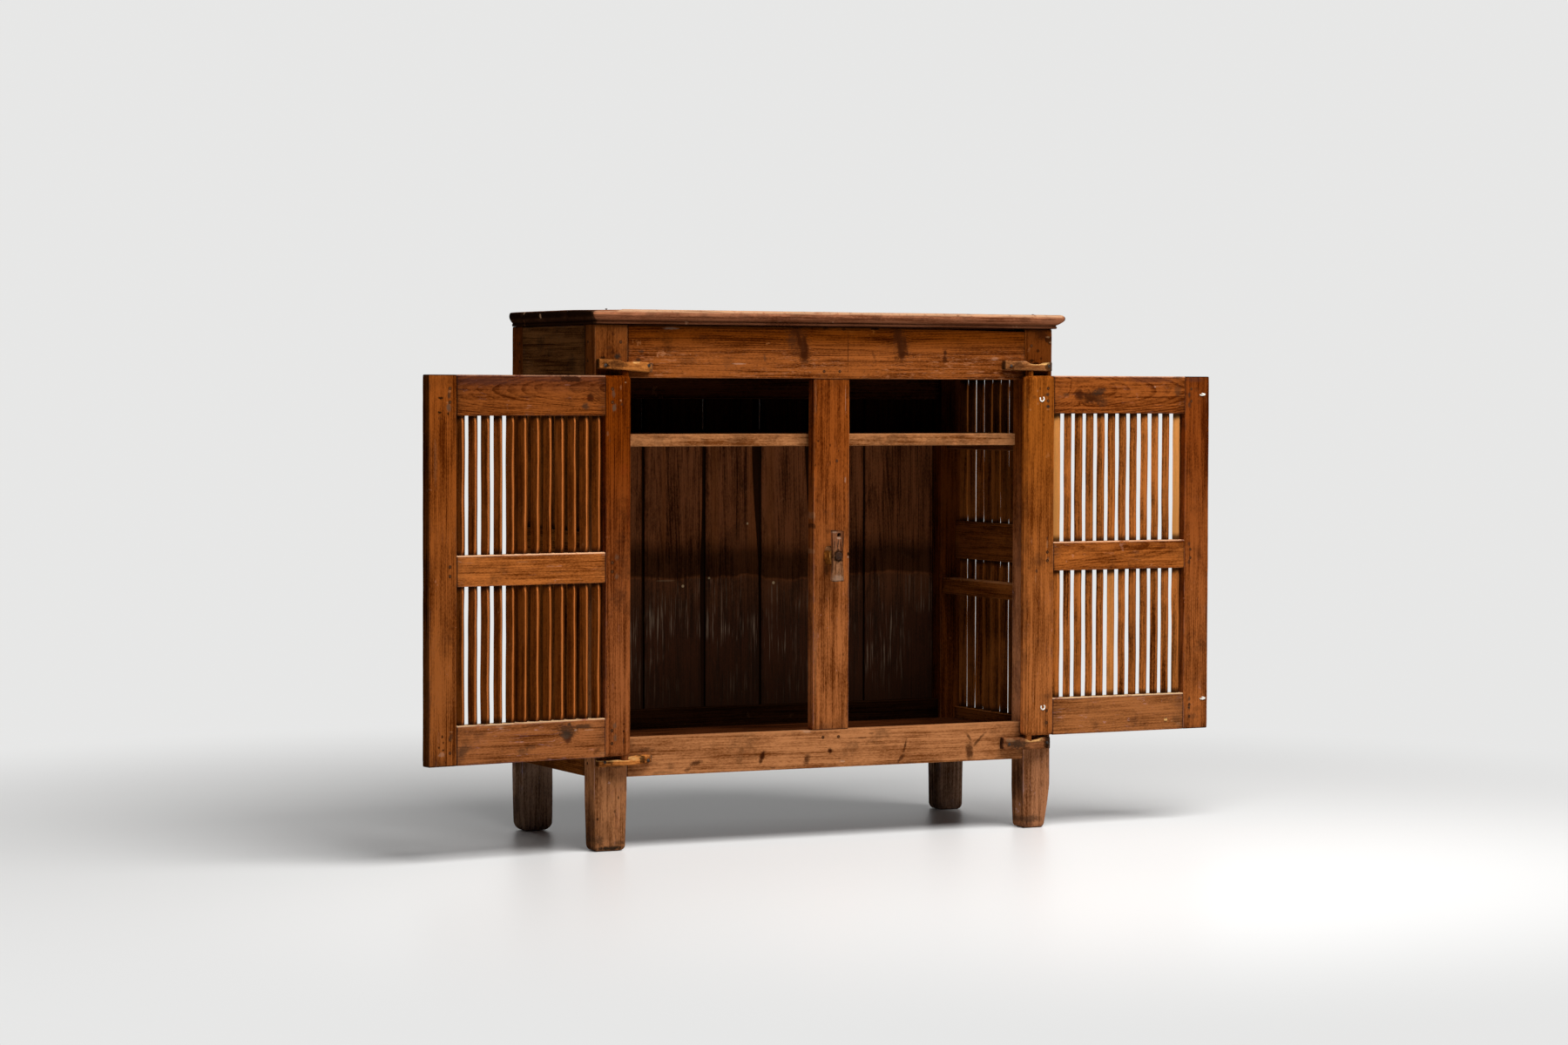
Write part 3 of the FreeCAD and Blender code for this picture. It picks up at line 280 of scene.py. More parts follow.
# Small pieces
PEG_RADIUS = 0.00325
PEG_PROUD = 0.0002
PEG_FACE = 0.012
NAIL_HEIGHT = 0.0008
LAP_DEPTH = 0.0045
BACK_FACE = 0.0073
TIDE = 0.482
EYE_WIRE = 0.0014
EYE_WIDTH = 0.0044
EYE_HEIGHT = 0.0046
EYE_SWEEP = 250
TOP_MOULDING = 0.040
TOP_CHIP = (-0.497, -0.085)
TOP_RUB_END = -0.4437
TOP_BRUISES = (((-0.497, 0.031, 0.9925), 0.0055), ((-0.497, 0.112, 1.000), 0.0050))
TOP_FRONT = -0.218
TOP_LEFT_SHARE = 0.5
GOLDEN_TURN = 2.39996

# Share of the moulding's depth and height, up the top's edge: a small bead, a neck, then the round nose
TOP_PROFILE = (
    (0.44, 0.0), (0.34, 0.0), (0.310, 0.03), (0.300, 0.09), (0.308, 0.155), (0.340, 0.185), (0.352, 0.215),
    (0.340, 0.245), (0.300, 0.262), (0.250, 0.30), (0.195, 0.355), (0.130, 0.425), (0.070, 0.505), (0.025, 0.59),
    (0.004, 0.69), (0.006, 0.80), (0.040, 0.90), (0.10, 0.965), (0.18, 0.997), (0.26, 1.0))

# Back boards: for each, the width of its sunk strip at top and bottom, its shade and how strong its figure is
BACK_LOOKS = (
    (0.001, 0.001, 0.05, 0), (0.005, 0.005, -0.05, 0), (0.006, 0.009, 0, 0.3), (0.021, 0.004, 0.02, 0.1),
    (0.018, 0.006, -0.04, 0.25), (0.003, 0.003, 0.06, 0), (0.004, 0.003, 0, 0.1))

# Spots of light, by place, half width and height, and strength; gaps of light; streaks of sapwood
BACK_SPOTS = ((-0.132, 0.467, 0.0032, 0.0032, 0.8), (0.009, 0.589, 0.0025, 0.0028, 0.7),
              (0.067, 0.470, 0.0034, 0.0034, 0.8), (-0.075, 0.482, 0.003, 0.0025, 0.6),
              (-0.170, 0.4785, 0.024, 0.0022, 0.12))
BACK_SLITS = (-0.2213, -0.0875, 0.0369)
BACK_SAPWOOD = ((-0.174, 0.006), (-0.063, 0.012), (0.021, 0.016), (0.059, 0.013), (0.205, 0.012), (-0.290, 0.010))

# Bars
BAR_END = 0.009
SIDE_BAR_END = 0.0165
BAR_BEVEL = 0.007
BAR_SOCKET = 0.008
DOOR_BARS = 12
SIDE_BARS = 9


# Nodes of a material or a modifier

def worked(operation):
    """A sum that further nodes work out from a value."""
    return lambda self, *others: self.net.math(operation, self, *others)


class Value:
    """What a node gives out. Sums of it add the nodes that work them out."""
    __add__ = worked("ADD")
    __sub__ = worked("SUBTRACT")
    __mul__ = worked("MULTIPLY")
    __truediv__ = worked("DIVIDE")
    __pow__ = worked("POWER")
    __abs__ = worked("ABSOLUTE")
    scaled = worked("MULTIPLY_ADD")
    most = worked("MAXIMUM")
    least = worked("MINIMUM")
    over = worked("GREATER_THAN")
    under = worked("LESS_THAN")
    sign = worked("SIGN")
    floor = worked("FLOOR")
    past_whole = worked("FRACT")
    raised = worked("EXPONENT")

    def __init__(self, net, socket):
        self.net, self.socket = net, socket

    def __rsub__(self, other):
        return self.net.math("SUBTRACT", other, self)

    def bell(self):
        return (self ** 2.0 * -1.0).raised()

    def step(self, low, high, bottom=0.0, top=1.0):
        """Runs smoothly from bottom to top while the value runs from low to high."""
        given = dict(enumerate((self, low, high, bottom, top)))
        return self.net.add("ShaderNodeMapRange", given, interpolation_type="SMOOTHSTEP")[0]


class Added:
    """A node, whose outputs are had by name or number."""

    def __init__(self, net, node):
        self.net, self.node = net, node

    def __getitem__(self, output):
        return Value(self.net, self.node.outputs[output])


class Net:
    """Adds nodes to a node tree and wires them up."""

    def __init__(self, tree):
        self.tree = tree

    def put(self, socket, value):
        """Links or sets an input. A list links all that is in it."""
        for one in value if isinstance(value, list) else [value]:
            if isinstance(one, Value):
                self.tree.links.new(one.socket, socket)
            else:
                colour = isinstance(one, tuple) and len(one) == 3 and len(socket.default_value) == 4
                socket.default_value = (*one, 1.0) if colour else one

    def add(self, kind, inputs=None, **settings):
        made = self.tree.nodes.new(kind)
        for name, value in settings.items():
            setattr(made, name, value)
        for name, value in (inputs or {}).items():
            self.put(made.inputs[name], value)
        return Added(self, made)

    def math(self, operation, *values, clamp=False):
        return self.add("ShaderNodeMath", dict(enumerate(values)), operation=operation, use_clamp=clamp)[0]

    def vector(self, operation, *values):
        output = "Value" if operation in ("LENGTH", "DOT_PRODUCT") else "Vector"
        return self.add("ShaderNodeVectorMath", dict(enumerate(values)), operation=operation)[output]

    def split(self, vector):
        return self.add("ShaderNodeSeparateXYZ", {0: vector})

    def combine(self, *values):
        return self.add("ShaderNodeCombineXYZ", dict(enumerate(values)))[0]

    def noise(self, place, scale, detail=2.0, roughness=0.5):
        """Noise that is as fine as its scale, or as its three scales along the axes."""
        if isinstance(scale, tuple):
            place, scale = self.vector("MULTIPLY", place, scale), 1.0
        given = {"Vector": place, "Scale": scale, "Detail": detail, "Roughness": roughness}
        return self.add("ShaderNodeTexNoise", given, noise_dimensions="3D")["Fac"]

    def cells(self, place, scale):
        """Distance to the nearest scattered point, and that point's own random numbers."""
        given = {"Vector": place, "Scale": scale}
        made = self.add("ShaderNodeTexVoronoi", given, voronoi_dimensions="3D", feature="F1")
        return made["Distance"], self.split(made["Color"])

    def mix(self, share, under, coat, blend="MIX"):
        given = {"Factor": share, 6: under, 7: coat}
        return self.add("ShaderNodeMix", given, data_type="RGBA", blend_type=blend, clamp_factor=True)[2]

    def coats(self, colour, *coats):
        """Lays coats over a colour, each with its share and its own colour."""
        for share, coat in coats:
            colour = self.mix(share, colour, coat)
        return colour

    def store(self, name, geometry, value, kind="FLOAT", domain="POINT"):
        """Keeps a value on a geometry, for the finish to read."""
        given = {"Name": name, "Geometry": geometry, "Value": value}
        return self.add("GeometryNodeStoreNamedAttribute", given, data_type=kind, domain=domain)["Geometry"]

    def stand(self, points, piece, turn, slim, tint):
        """Stands a piece on every point, slimmer by a share of its own and with a tint of its own."""
        given = {"Points": points, "Instance": piece, "Rotation": turn, "Scale": self.combine(slim, slim, 1.0)}
        placed = self.add("GeometryNodeInstanceOnPoints", given)["Instances"]
        tinted = self.store("tint", placed, tint, domain="INSTANCE")
        return self.add("GeometryNodeRealizeInstances", {"Geometry": tinted})["Geometry"]

    def dress(self, geometry, finish):
        dressed = self.add("GeometryNodeSetMaterial", {"Geometry": geometry, "Material": finish})["Geometry"]
        self.add("NodeGroupOutput", {"Geometry": dressed})
        return self.tree

    def chance(self, low, high, seed):
        return self.add("FunctionNodeRandomValue", {2: low, 3: high, "Seed": seed}, data_type="FLOAT")[1]

    def position(self):
        return self.add("GeometryNodeInputPosition")[0]


class Finish(Net):
    """The nodes of one material, and the colour of its surface, over which more coats go."""

    def __init__(self, name):
        self.material = bpy.data.materials.new(name)
        self.material.use_nodes = True
        super().__init__(self.material.node_tree)
        self.shader = self.tree.nodes["Principled BSDF"]

    def set(self, **values):
        for name, value in values.items():
            self.put(self.shader.inputs[name.replace("_", " ")], value)

    @property
    def colour(self):
        return Value(self, self.shader.inputs["Base Color"].links[0].from_socket)

    def coat(self, *coats):
        self.set(Base_Color=self.coats(self.colour, *coats))

    def place(self):
        return self.add("ShaderNodeTexCoord")["Object"]

    def read(self, attribute, output="Fac"):
        return self.add("ShaderNodeAttribute", attribute_name=attribute)[output]

    def board_grain(self, place):
        """Where a point lies in a board's own frame."""
        given = {"Vector": self.place(), "Location": place.to_translation(), "Rotation": place.to_euler()}
        return self.add("ShaderNodeMapping", given, vector_type="TEXTURE")["Vector"]

    def group(self, tree, **values):
        given = {name.replace("_", " "): value for name, value in values.items()}
        return self.add("ShaderNodeGroup", given, node_tree=tree)

    def relief(self, height, strength, depth):
        given = {"Strength": strength, "Distance": depth, "Height": height}
        self.set(Normal=self.add("ShaderNodeBump", given)["Normal"])


def socket_kind(value):
    if isinstance(value, str):
        return value
    if isinstance(value, tuple):
        return "Vector"
    return "Int" if isinstance(value, int) else "Float"


def new_tree(name, inputs, outputs=None):
    """A tree with named inputs, each given by its first value or by its kind. It makes a mesh, or else a finish."""
    tree = bpy.data.node_groups.new(name, "ShaderNodeTree" if outputs else "GeometryNodeTree")
    outputs = outputs or {"Geometry": "Geometry"}
    for way, sockets in (("INPUT", inputs), ("OUTPUT", outputs)):
        for label, value in sockets.items():
            socket = tree.interface.new_socket(label, in_out=way, socket_type="NodeSocket" + socket_kind(value))
            if not isinstance(value, str):
                socket.default_value = value
    net = Net(tree)
    return net, net.add("NodeGroupInput")


def knot_group():
    """One knot: how far it bends the grain round it, and its own dark eye."""
    net, given = new_tree("knot", {"Grain": "Vector", "Centre": "Vector", "Radius": 0.009, "Tall": 1.0},
                          {"Bend": "Float", "Eye": "Float"})
    away = net.split(net.vector("SUBTRACT", given["Grain"], given["Centre"]))
    wobble = net.noise(given["Grain"], 85.0, 3.0, 0.6).scaled(1.1, 0.45)
    reach = net.vector("LENGTH", net.combine(away[0], away[1] / given["Tall"], 0.0)) * wobble / given["Radius"]
    net.add("NodeGroupOutput", {"Bend": (reach / 2.6).bell() * given["Radius"], "Eye": reach.step(1.5, 0.5)})
    return net.tree


def mark_group():
    """A stain, hole or chip: a ragged oval."""
    net, given = new_tree("mark", {"Grain": "Vector", "Centre": "Vector", "Wide": "Vector", "Tall": "Vector",
                                   "Core": 0.4, "Strength": 1.0}, {"Mask": "Float"})
    away = net.vector("SUBTRACT", given["Grain"], given["Centre"])
    wide, tall = (net.vector("DOT_PRODUCT", away, given[way]) for way in ("Wide", "Tall"))
    ragged = net.noise(given["Grain"], 210.0, 4.0, 0.75) - 0.5
    reach = ragged.scaled(1.9, net.vector("LENGTH", net.combine(wide, tall, 0.0)))
    net.add("NodeGroupOutput", {"Mask": reach.step(1.15, given["Core"]) * given["Strength"]})
    return net.tree


def pine_group():
    """Old pine. Grain is the place in the board: X along it, Y across it, Z through it."""
    net, given = new_tree("aged pine", {
        "Grain": "Vector", "Seed": 0.0, "Half": "Vector", "Heart": (0.0, 0.085, -0.03), "Slope": 0.02,
        "Ring": RING_WIDTH, "Pale": "Color", "Dark": "Color", "Worn": "Color", "Bend": 0.0, "Eye": 0.0,
        "Knots": 0.12, "Edge wear": 0.45, "Dirt": 0.55, "Contrast": 0.5, "Shade": 0.0, "Lip": 0.0, "Scuff": 0.0,
        "Flank": 1.0, "Plain foot": 0.0}, {"Colour": "Color", "Roughness": "Float", "Height": "Float"})
    grain, seed, contrast, worn_colour = (given[name] for name in ("Grain", "Seed", "Contrast", "Worn"))
    place = net.vector("ADD", grain, net.vector("MULTIPLY", net.combine(seed, seed, seed), (1.73, 0.91, 0.37)))
    here = net.split(grain)
    half = net.split(given["Half"])

    def stretched(along, across, detail=2.0, roughness=0.5):
        return net.noise(place, (along, across, across), detail, roughness)

    # Scattered small knots
    spot = net.split(place)
    away, chance = net.cells(net.combine(spot[0], spot[1], seed), KNOTS_PER_METRE)
    size = chance[1].scaled(0.004, 0.0022)
    present = chance[0].under(given["Knots"])
    reach = away / KNOTS_PER_METRE * net.noise(place, 110.0).scaled(0.8, 0.6) / size
    bend = ((reach / 2.5).bell() * size).scaled(present, given["Bend"])
    eye = (reach.step(1.3, 0.6) * present).most(given["Eye"])

    # Rings round a heart that leans away from the board
    heart = net.split(given["Heart"])
    across = (stretched(1.9, 7.0) - 0.5).scaled(0.016, here[1] - heart[1])
    through = here[0].scaled(given["Slope"], here[2] - heart[2])
    through = (stretched(3.3, 6.0) - 0.5).scaled(0.014, through)
    radius = net.vector("LENGTH", net.combine(0.0, across, through))
    radius = (stretched(11.0, 70.0) - 0.5).scaled(0.0016, radius)
    rings = (radius + bend) / given["Ring"]
    turn = rings.past_whole()
    year = net.add("ShaderNodeTexWhiteNoise", {"W": rings.floor() + seed}, noise_dimensions="1D")["Value"]
    late = turn.step(0.3, 0.88) * turn.step(1.0, 0.93) * year.scaled(0.8, 0.2)

    # Fibres, streaks, blotches and speckles under an uneven old wax
    fibre = stretched(6.0, 240.0, 4.0, 0.7)
    streak = stretched(4.5, 110.0, 4.0, 0.66)
    blotch = stretched(6.0, 17.0, 5.0, 0.6)
    patch = stretched(26.0, 26.0, 4.0, 0.65)
    speck = stretched(190.0, 420.0, 2.0, 0.6)
    tone = late.scaled(contrast, 0.28)
    for layer, depth in ((fibre, contrast.scaled(2.6, 1.2)), (streak, 2.1), (blotch, 2.3), (speck, 1.3)):
        tone = (layer - 0.5).scaled(depth, tone)
    colour = net.mix(net.math("ADD", tone, given["Shade"], clamp=True), given["Pale"], given["Dark"])

    # Knots with a burnt rim, wear on the edges, dirt at the joints and in the grain, worm holes and scratches. Lip
    # paints a pale line on the upper edge, partly wear and partly painted highlight
    gap = net.split(net.vector("SUBTRACT", given["Half"], net.vector("ABSOLUTE", grain)))
    low = gap[0].least(gap[1])
    edge = low.most(gap[0].most(gap[1]).least(gap[2]))
    worn = edge.step(patch.scaled(0.0085, -0.0026), 0.0) * given["Edge wear"]
    rubbed = blotch.step(0.40, 0.22) * 0.35 * speck.step(0.42, 0.60) * given["Edge wear"]
    ends = gap[0].step(0.030, 0.0) * patch.step(0.36, 0.62)
    rims = low.step(0.010, 0.0) * patch.step(0.45, 0.62)
    smudge = net.noise(place, 10.0, 5.0, 0.7).step(0.55, 0.74)
    dirt = (ends * 0.75).most(smudge).most(rims * 0.6) * given["Dirt"]
    joint_line = gap[0].step(0.0030, 0.0008) * patch.step(0.20, 0.40)
    lip_wear_and_highlight = (half[1] - here[1]).step(0.0032, 0.0010) * patch.step(0.30, 0.48)
    scuffed = (here[1] / half[1]).step(0.35, -0.35) * given["Scuff"]
    fleck = stretched(55.0, 300.0, 3.0, 0.75).step(0.53, 0.64) * blotch.step(0.38, 0.55)
    crack = stretched(120.0, 260.0, 4.0, 0.8).step(0.46, 0.36) * blotch.step(0.62, 0.45)
    away, chance = net.cells(place, HOLES_PER_METRE)
    hole = away.step(0.055, 0.025) * chance[0].under(0.09)
    pore = stretched(60.0, 650.0, 1.0).step(0.62, 0.76)
    scratch = abs(stretched(9.0, 80.0) - 0.5).step(0.010, 0.002) * patch.step(0.5, 0.7)
    burnt = eye.step(0.02, 0.5) * eye.step(1.0, 0.55)
    colour = net.coats(colour, (eye * 0.85, KNOT_COLOUR), (burnt * 0.35, KNOT_COLOUR),
                       (worn.most(rubbed), worn_colour), (dirt, GRIME_AND_SHADE), (joint_line * 0.8, GRIME_AND_SHADE),
                       (lip_wear_and_highlight * given["Lip"], worn_colour), (fleck * scuffed, worn_colour), (crack * scuffed, GRIME_AND_SHADE),
                       (pore * 0.45, given["Dark"]), (scratch * 0.25, worn_colour), (hole * 0.9, GRIME_AND_SHADE))

    # Painted light and shade: the narrow faces are lighter or darker by Flank, on some posts not down to the floor
    flank_light = gap[1].step(0.0016, 0.0004)
    plain = (1.0 - (here[0] + half[0]).step(0.12, 0.18)) * given["Plain foot"]
    lift = (1.0 - plain) * (given["Flank"] - 1.0) + 1.0
    flank_relit = net.mix(1.0, colour, net.combine(lift, lift, lift), "MULTIPLY")

    rough = worn.scaled(0.12, dirt.scaled(0.2, blotch.scaled(0.25, 0.42)))
    height = late.scaled(0.35, 0.5)
    for layer, depth in ((fibre, 0.45), (streak, 0.35), (patch, 0.9), (hole, -1.4), (scratch, -0.35), (pore, -0.3)):
        height = layer.scaled(depth, height)
    net.add("NodeGroupOutput", {"Colour": net.mix(flank_light, colour, flank_relit), "Roughness": rough, "Height": height})
    return net.tree


KNOT = knot_group()
MARK = mark_group()
PINE = pine_group()


def pine(name, place, size, seed, knots=(), base=None, **look):
    """The finish of one board. place turns the board's own frame into the case's, and knots lie in the board's."""
    finish = Finish(name)
    grain = finish.board_grain(place)
    lay_pine(finish, grain, size, seed, knots, look)
    piece = "back board" if name.startswith("back board") else name.removesuffix(" pine").removesuffix("_worn")
    # The board's tint, which also paints light and shade
    if piece in TINTS_AND_PAINTED_LIGHT:
        tint(finish, *TINTS_AND_PAINTED_LIGHT[piece])
    if piece in MARKS:
        row = Matrix.Identity(4)
        if base is not None:
            row = Matrix.Translation((0.0, 0.0, base.translation.z)) @ base.inverted()
        scar(finish, grain, row @ place, MARKS[piece])
    return finish


def tint(finish, low, high, foot, head=None):
    """Multiplies a finish by one colour at a piece's foot and another at its head, which paints light and shade, with
    less blue on pale wood.
    """
    head = head or foot
    rise = finish.split(finish.place())[2].step(low, high)
    shade = finish.mix(rise, foot, head)
    plain = finish.mix(rise, (*foot[:2], min(foot[1:])), (*head[:2], min(head[1:])))
    shade = finish.mix(finish.split(finish.colour)[2].step(*BLUE_OF_PALE_WOOD), shade, plain)
    finish.set(Base_Color=finish.mix(1.0, finish.colour, shade, "MULTIPLY"))


def scar(finish, grain, place, marks):
    """Draws a board's marks over its finish. place turns the board's own frame into the frame of the marks."""
    back = place.inverted()
    for *sizes, kind, strength in marks:
        x, z, width, height, lean = [part * 0.001 for part in (*sizes, 0)[:5]]
        lean *= 10.0
        share = MARK_SHARES[kind] * strength * 0.01
        mark = finish.group(MARK, Grain=grain, Centre=back @ Vector((x, place.translation.y, z)),
                            Wide=back.to_3x3() @ Vector((1.0 / width, 0.0, -lean / width)),
                            Tall=back.to_3x3() @ Vector((0.0, 0.0, 1.0 / height)),
                            Strength=min(share, 1.0), Core=0.7 if kind in ("hole", "chip", "chalk") else 0.35)
        finish.coat((mark["Mask"], MARK_COLOURS[kind]))


def lay_pine(finish, grain, size, seed, knots, look):
    """Old pine with its own knots, over the whole of a finish."""
    look = {"Pale": HONEY["Pale"], "Dark": HONEY["Dark"], "Worn": HONEY_WORN, **look}
    wood = finish.group(PINE, Grain=grain, Seed=seed, Half=Vector(size) / 2, **look)
    bend = eye = 0.0
    for along, across, radius, tall in knots:
        knot = finish.group(KNOT, Grain=grain, Centre=(along, across, 0.0), Radius=radius, Tall=tall)
        bend = knot["Bend"] + bend
        eye = knot["Eye"].most(eye)
    if knots:
        finish.put(wood.node.inputs["Bend"], bend)
        finish.put(wood.node.inputs["Eye"], eye)
    finish.relief(wood["Height"], 0.8, GRAIN_RELIEF)
    finish.set(Base_Color=wood["Colour"], Roughness=wood["Roughness"], IOR=1.35, Specular_IOR_Level=0.0)


def coated_wire():
    """White coat, mottled with age."""
    finish = Finish("white coated wire")
    patch = finish.noise(finish.place(), 120.0, 4.0, 0.6)
    finish.set(Base_Color=finish.mix(patch.step(0.4, 0.65), WIRE, OLD_WIRE), Roughness=patch.scaled(0.25, 0.25))
    finish.relief(finish.noise(finish.place(), 480.0, 3.0, 0.6), 0.6, 0.0003)
    return finish.material


# Places

RUNS = {
    "x": ((1, 0, 0), (0, 0, 1), (0, -1, 0)),
    "x_flat": ((1, 0, 0), (0, 1, 0), (0, 0, 1)),
    "y": ((0, 1, 0), (0, 0, 1), (1, 0, 0)),
    "z": ((0, 0, 1), (1, 0, 0), (0, 1, 0)),
}


def joint(name):
    return next(found for found in frame["joints"] if found["name"] == name)


def door_place(side):
    """The door's own frame at rest: X from its pivot to its free edge, Z up."""
    found = joint(side + "_door_hinge")
    low, high = found["range_deg"]
    turn = -high if side == "left" else -low - 180.0
    return Matrix.Translation(found["pos_m"]) @ Matrix.Rotation(math.radians(turn), 4, "Z")


def corners(points):
    """Lowest and highest corners of the box round some points."""
    return tuple(Vector([most(point[axis] for point in points) for axis in range(3)]) for most in (min, max))


def local_box(node, place):
    """Lowest and highest corners of a node in some frame."""
    back = place.inverted()
    return corners([back @ vertex.co for vertex in frame["nodes"][node].data.vertices])


def merged(node):
    """A copy of a node's mesh with its loose triangles joined."""
    made = bmesh.new()
    made.from_mesh(frame["nodes"][node].data)
    bmesh.ops.remove_doubles(made, verts=made.verts, dist=1e-6)
    return made


def solids_of(node):
    """Boxes of the separate solids in one node, from the left to the right."""
    made = merged(node)
    left = set(made.verts)
    boxes = []
    while left:
        waiting = [left.pop()]
        points = []
        while waiting:
            vertex = waiting.pop()
            points.append(vertex.co.copy())
            for other in {edge.other_vert(vertex) for edge in vertex.link_edges} & left:
                left.remove(other)
                waiting.append(other)
        boxes.append(corners(points))
    made.free()
    return sorted(boxes, key=lambda box: tuple(round(value, 5) for value in box[0]))


def board_place(low, high, run, base=None):
    """The frame and size of a board that fills a box, given the way its grain runs."""
    turn = Matrix(RUNS[run]).transposed()
    size = Vector([abs(part) for part in turn.inverted() @ (high - low)])
    place = Matrix.Translation((low + high) / 2) @ turn.to_4x4()
    return base @ place if base is not None else place, size


def share_of(value, low, high):
    """How far a value is on its way from low to high, from 0 to 1."""
    return min(max((value - low) / (high - low), 0.0), 1.0)


# Meshes

def poured(made, name):
    mesh = bpy.data.meshes.new(name)
    made.to_mesh(mesh)
    made.free()
    return mesh


def bridge(made, rings, smooth=True):
    """Faces from ring to ring, and the rings themselves."""
    columns = [[made.verts.new(point) for point in ring] for ring in rings]
    around = len(columns[0])
    for first, second in zip(columns, columns[1:]):
        for index in range(around):
            after = (index + 1) % around
            face = made.faces.new((first[index], first[after], second[after], second[index]))
            face.smooth = smooth
    return columns


def skin(name, rings, smooth=True):
    """A closed mesh over rings of points."""
    made = bmesh.new()
    columns = bridge(made, rings, smooth)
    made.faces.new(list(reversed(columns[0])))
    made.faces.new(columns[-1])
    bmesh.ops.recalc_face_normals(made, faces=made.faces)
    return poured(made, name)


def modified(name, mesh, kind, **settings):
    """Runs one modifier over a mesh, and returns its result as a plain mesh. values are a tree's named inputs."""
    carrier = put_in_scene(name + " carrier", mesh)
    modifier = carrier.modifiers.new(kind, kind)
    values = settings.pop("values", {})
    for setting, value in settings.items():
        setattr(modifier, setting, value)
    if values:
        for item in modifier.node_group.interface.items_tree:
            if item.in_out == "INPUT" and item.name in values:
                modifier[item.identifier] = values[item.name]
    carrier.update_tag()
    graph = bpy.context.evaluated_depsgraph_get()
    mesh = bpy.data.meshes.new_from_object(carrier.evaluated_get(graph))
    mesh.name = name
    bpy.data.objects.remove(carrier)
    return mesh


def put_in_scene(name, data):
    made = bpy.data.objects.new(name, data)
    bpy.context.scene.collection.objects.link(made)
    return made


def add_piece(name, mesh, body, slot, replaced):
    """A piece of the object, in place of a node."""
    piece = put_in_scene(name, mesh)
    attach(piece, body)
    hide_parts(replaced)


# Boards

def edge_radii(along, half, seed):
    """How round each of the four long edges is at one place along the board."""
    radii = []
    for corner in range(4):
        ripple = noise.noise(Vector((along * 9.0, corner * 3.7, seed * 1.9)))
        fine = noise.noise(Vector((along * 41.0, corner * 5.1, seed * 2.3)))
        end = min(half + along, half - along)
        radius = EDGE_SOFTNESS * (1.0 + 0.6 * (0.9 * ripple + 0.7 * fine))
        radius += EDGE_SOFTNESS * 0.6 * math.exp(-(end / 0.006) ** 2)
        radii.append(max(radius, EDGE_SOFTNESS * 0.35))
    return radii


def section(along, width, thickness, radii, seed):
    """Points round the board at one place along it, each face hollowed and bowed a little inwards."""
    half = Vector((width / 2, thickness / 2))
    quarters = ((1, 1), (-1, 1), (-1, -1), (1, -1))

    def rounding(index):
        radius = min(radii[index], half.x * 0.9, half.y * 0.9)
        centre = Vector([sign * (reach - radius) for sign, reach in zip(quarters[index], half)])
        return lambda turn: centre + Vector((math.cos(turn), math.sin(turn))) * radius

    points = []
    for index in range(4):
        turns = [index * math.pi / 2 + part * math.pi / 8 for part in range(5)]
        points += [tuple(rounding(index)(turn)) for turn in turns]
        last = Vector(points[-1])
        first = rounding((index + 1) % 4)(turns[-1])
        inward = Vector((-math.cos(turns[-1]), -math.sin(turns[-1])))
        near = min(FACE_EDGE / (first - last).length, 0.2)
        for share in (near, 0.25, 0.5, 0.75, 1.0 - near):
            ripple = noise.noise(Vector((along * 6.0, index * 2.1 + share * 1.7, seed * 1.3)))
            hollow = FACE_HOLLOW * (0.5 + ripple) * math.sin(math.pi * share)
            points.append(tuple(last.lerp(first, share) + inward * max(hollow, 0.0)))
    return points


def board_mesh(name, size, seed, shape=None):
    """A sawn board, centred, with its length along X. shape moves a point, for a worn or tapered end."""
    length, width, thickness = size
    half = length / 2
    inset = EDGE_SOFTNESS
    count = max(6, round(length / STATION))
    stations = [-half + inset + (length - 2 * inset) * index / count for index in range(count + 1)]
    if shape:
        ends = [half - near for near in (0.003, 0.005, 0.0075, 0.011)]
        stations = sorted(stations + ends + [-end for end in ends])
    rings = []
    for along in stations:
        radii = edge_radii(along, half, seed)
        rings.append([(along, *point) for point in section(along, width, thickness, radii, seed)])

    def closed(end, source, share):
        """The ring of an end, drawn in by a share of the rounding."""
        x = end - math.copysign(inset * 0.3, end) if share < 1 else end
        return [(x, y * (1 - share * 2 * inset / width), z * (1 - share * 2 * inset / thickness))
                for _, y, z in source]

    rings = [closed(-half, rings[0], 1), closed(-half, rings[0], 0.3), *rings,
             closed(half, rings[-1], 0.3), closed(half, rings[-1], 1)]
    return skin(name, [[shape(Vector(point)) if shape else point for point in ring] for ring in rings])


def board(node, body, slot, run, seed, low=None, high=None, base=None, knots=(), shape=None, **look):
    """A worn board in place of a node, trimmed to the part of it that shows."""
    name = node + "_worn"
    box = local_box(node, base or Matrix.Identity(4))
    low, high = (Vector([found if given is None else given for given, found in zip(trim or (None,) * 3, corner)])
                 for trim, corner in zip((low, high), box))
    place, size = board_place(low, high, run, base)
    mesh = board_mesh(name, size, seed, shape)
    mesh.transform(place)
    mesh.materials.append(pine(name + " pine", place, size, seed, knots, base, **look).material)
    add_piece(name, mesh, body, slot, node)


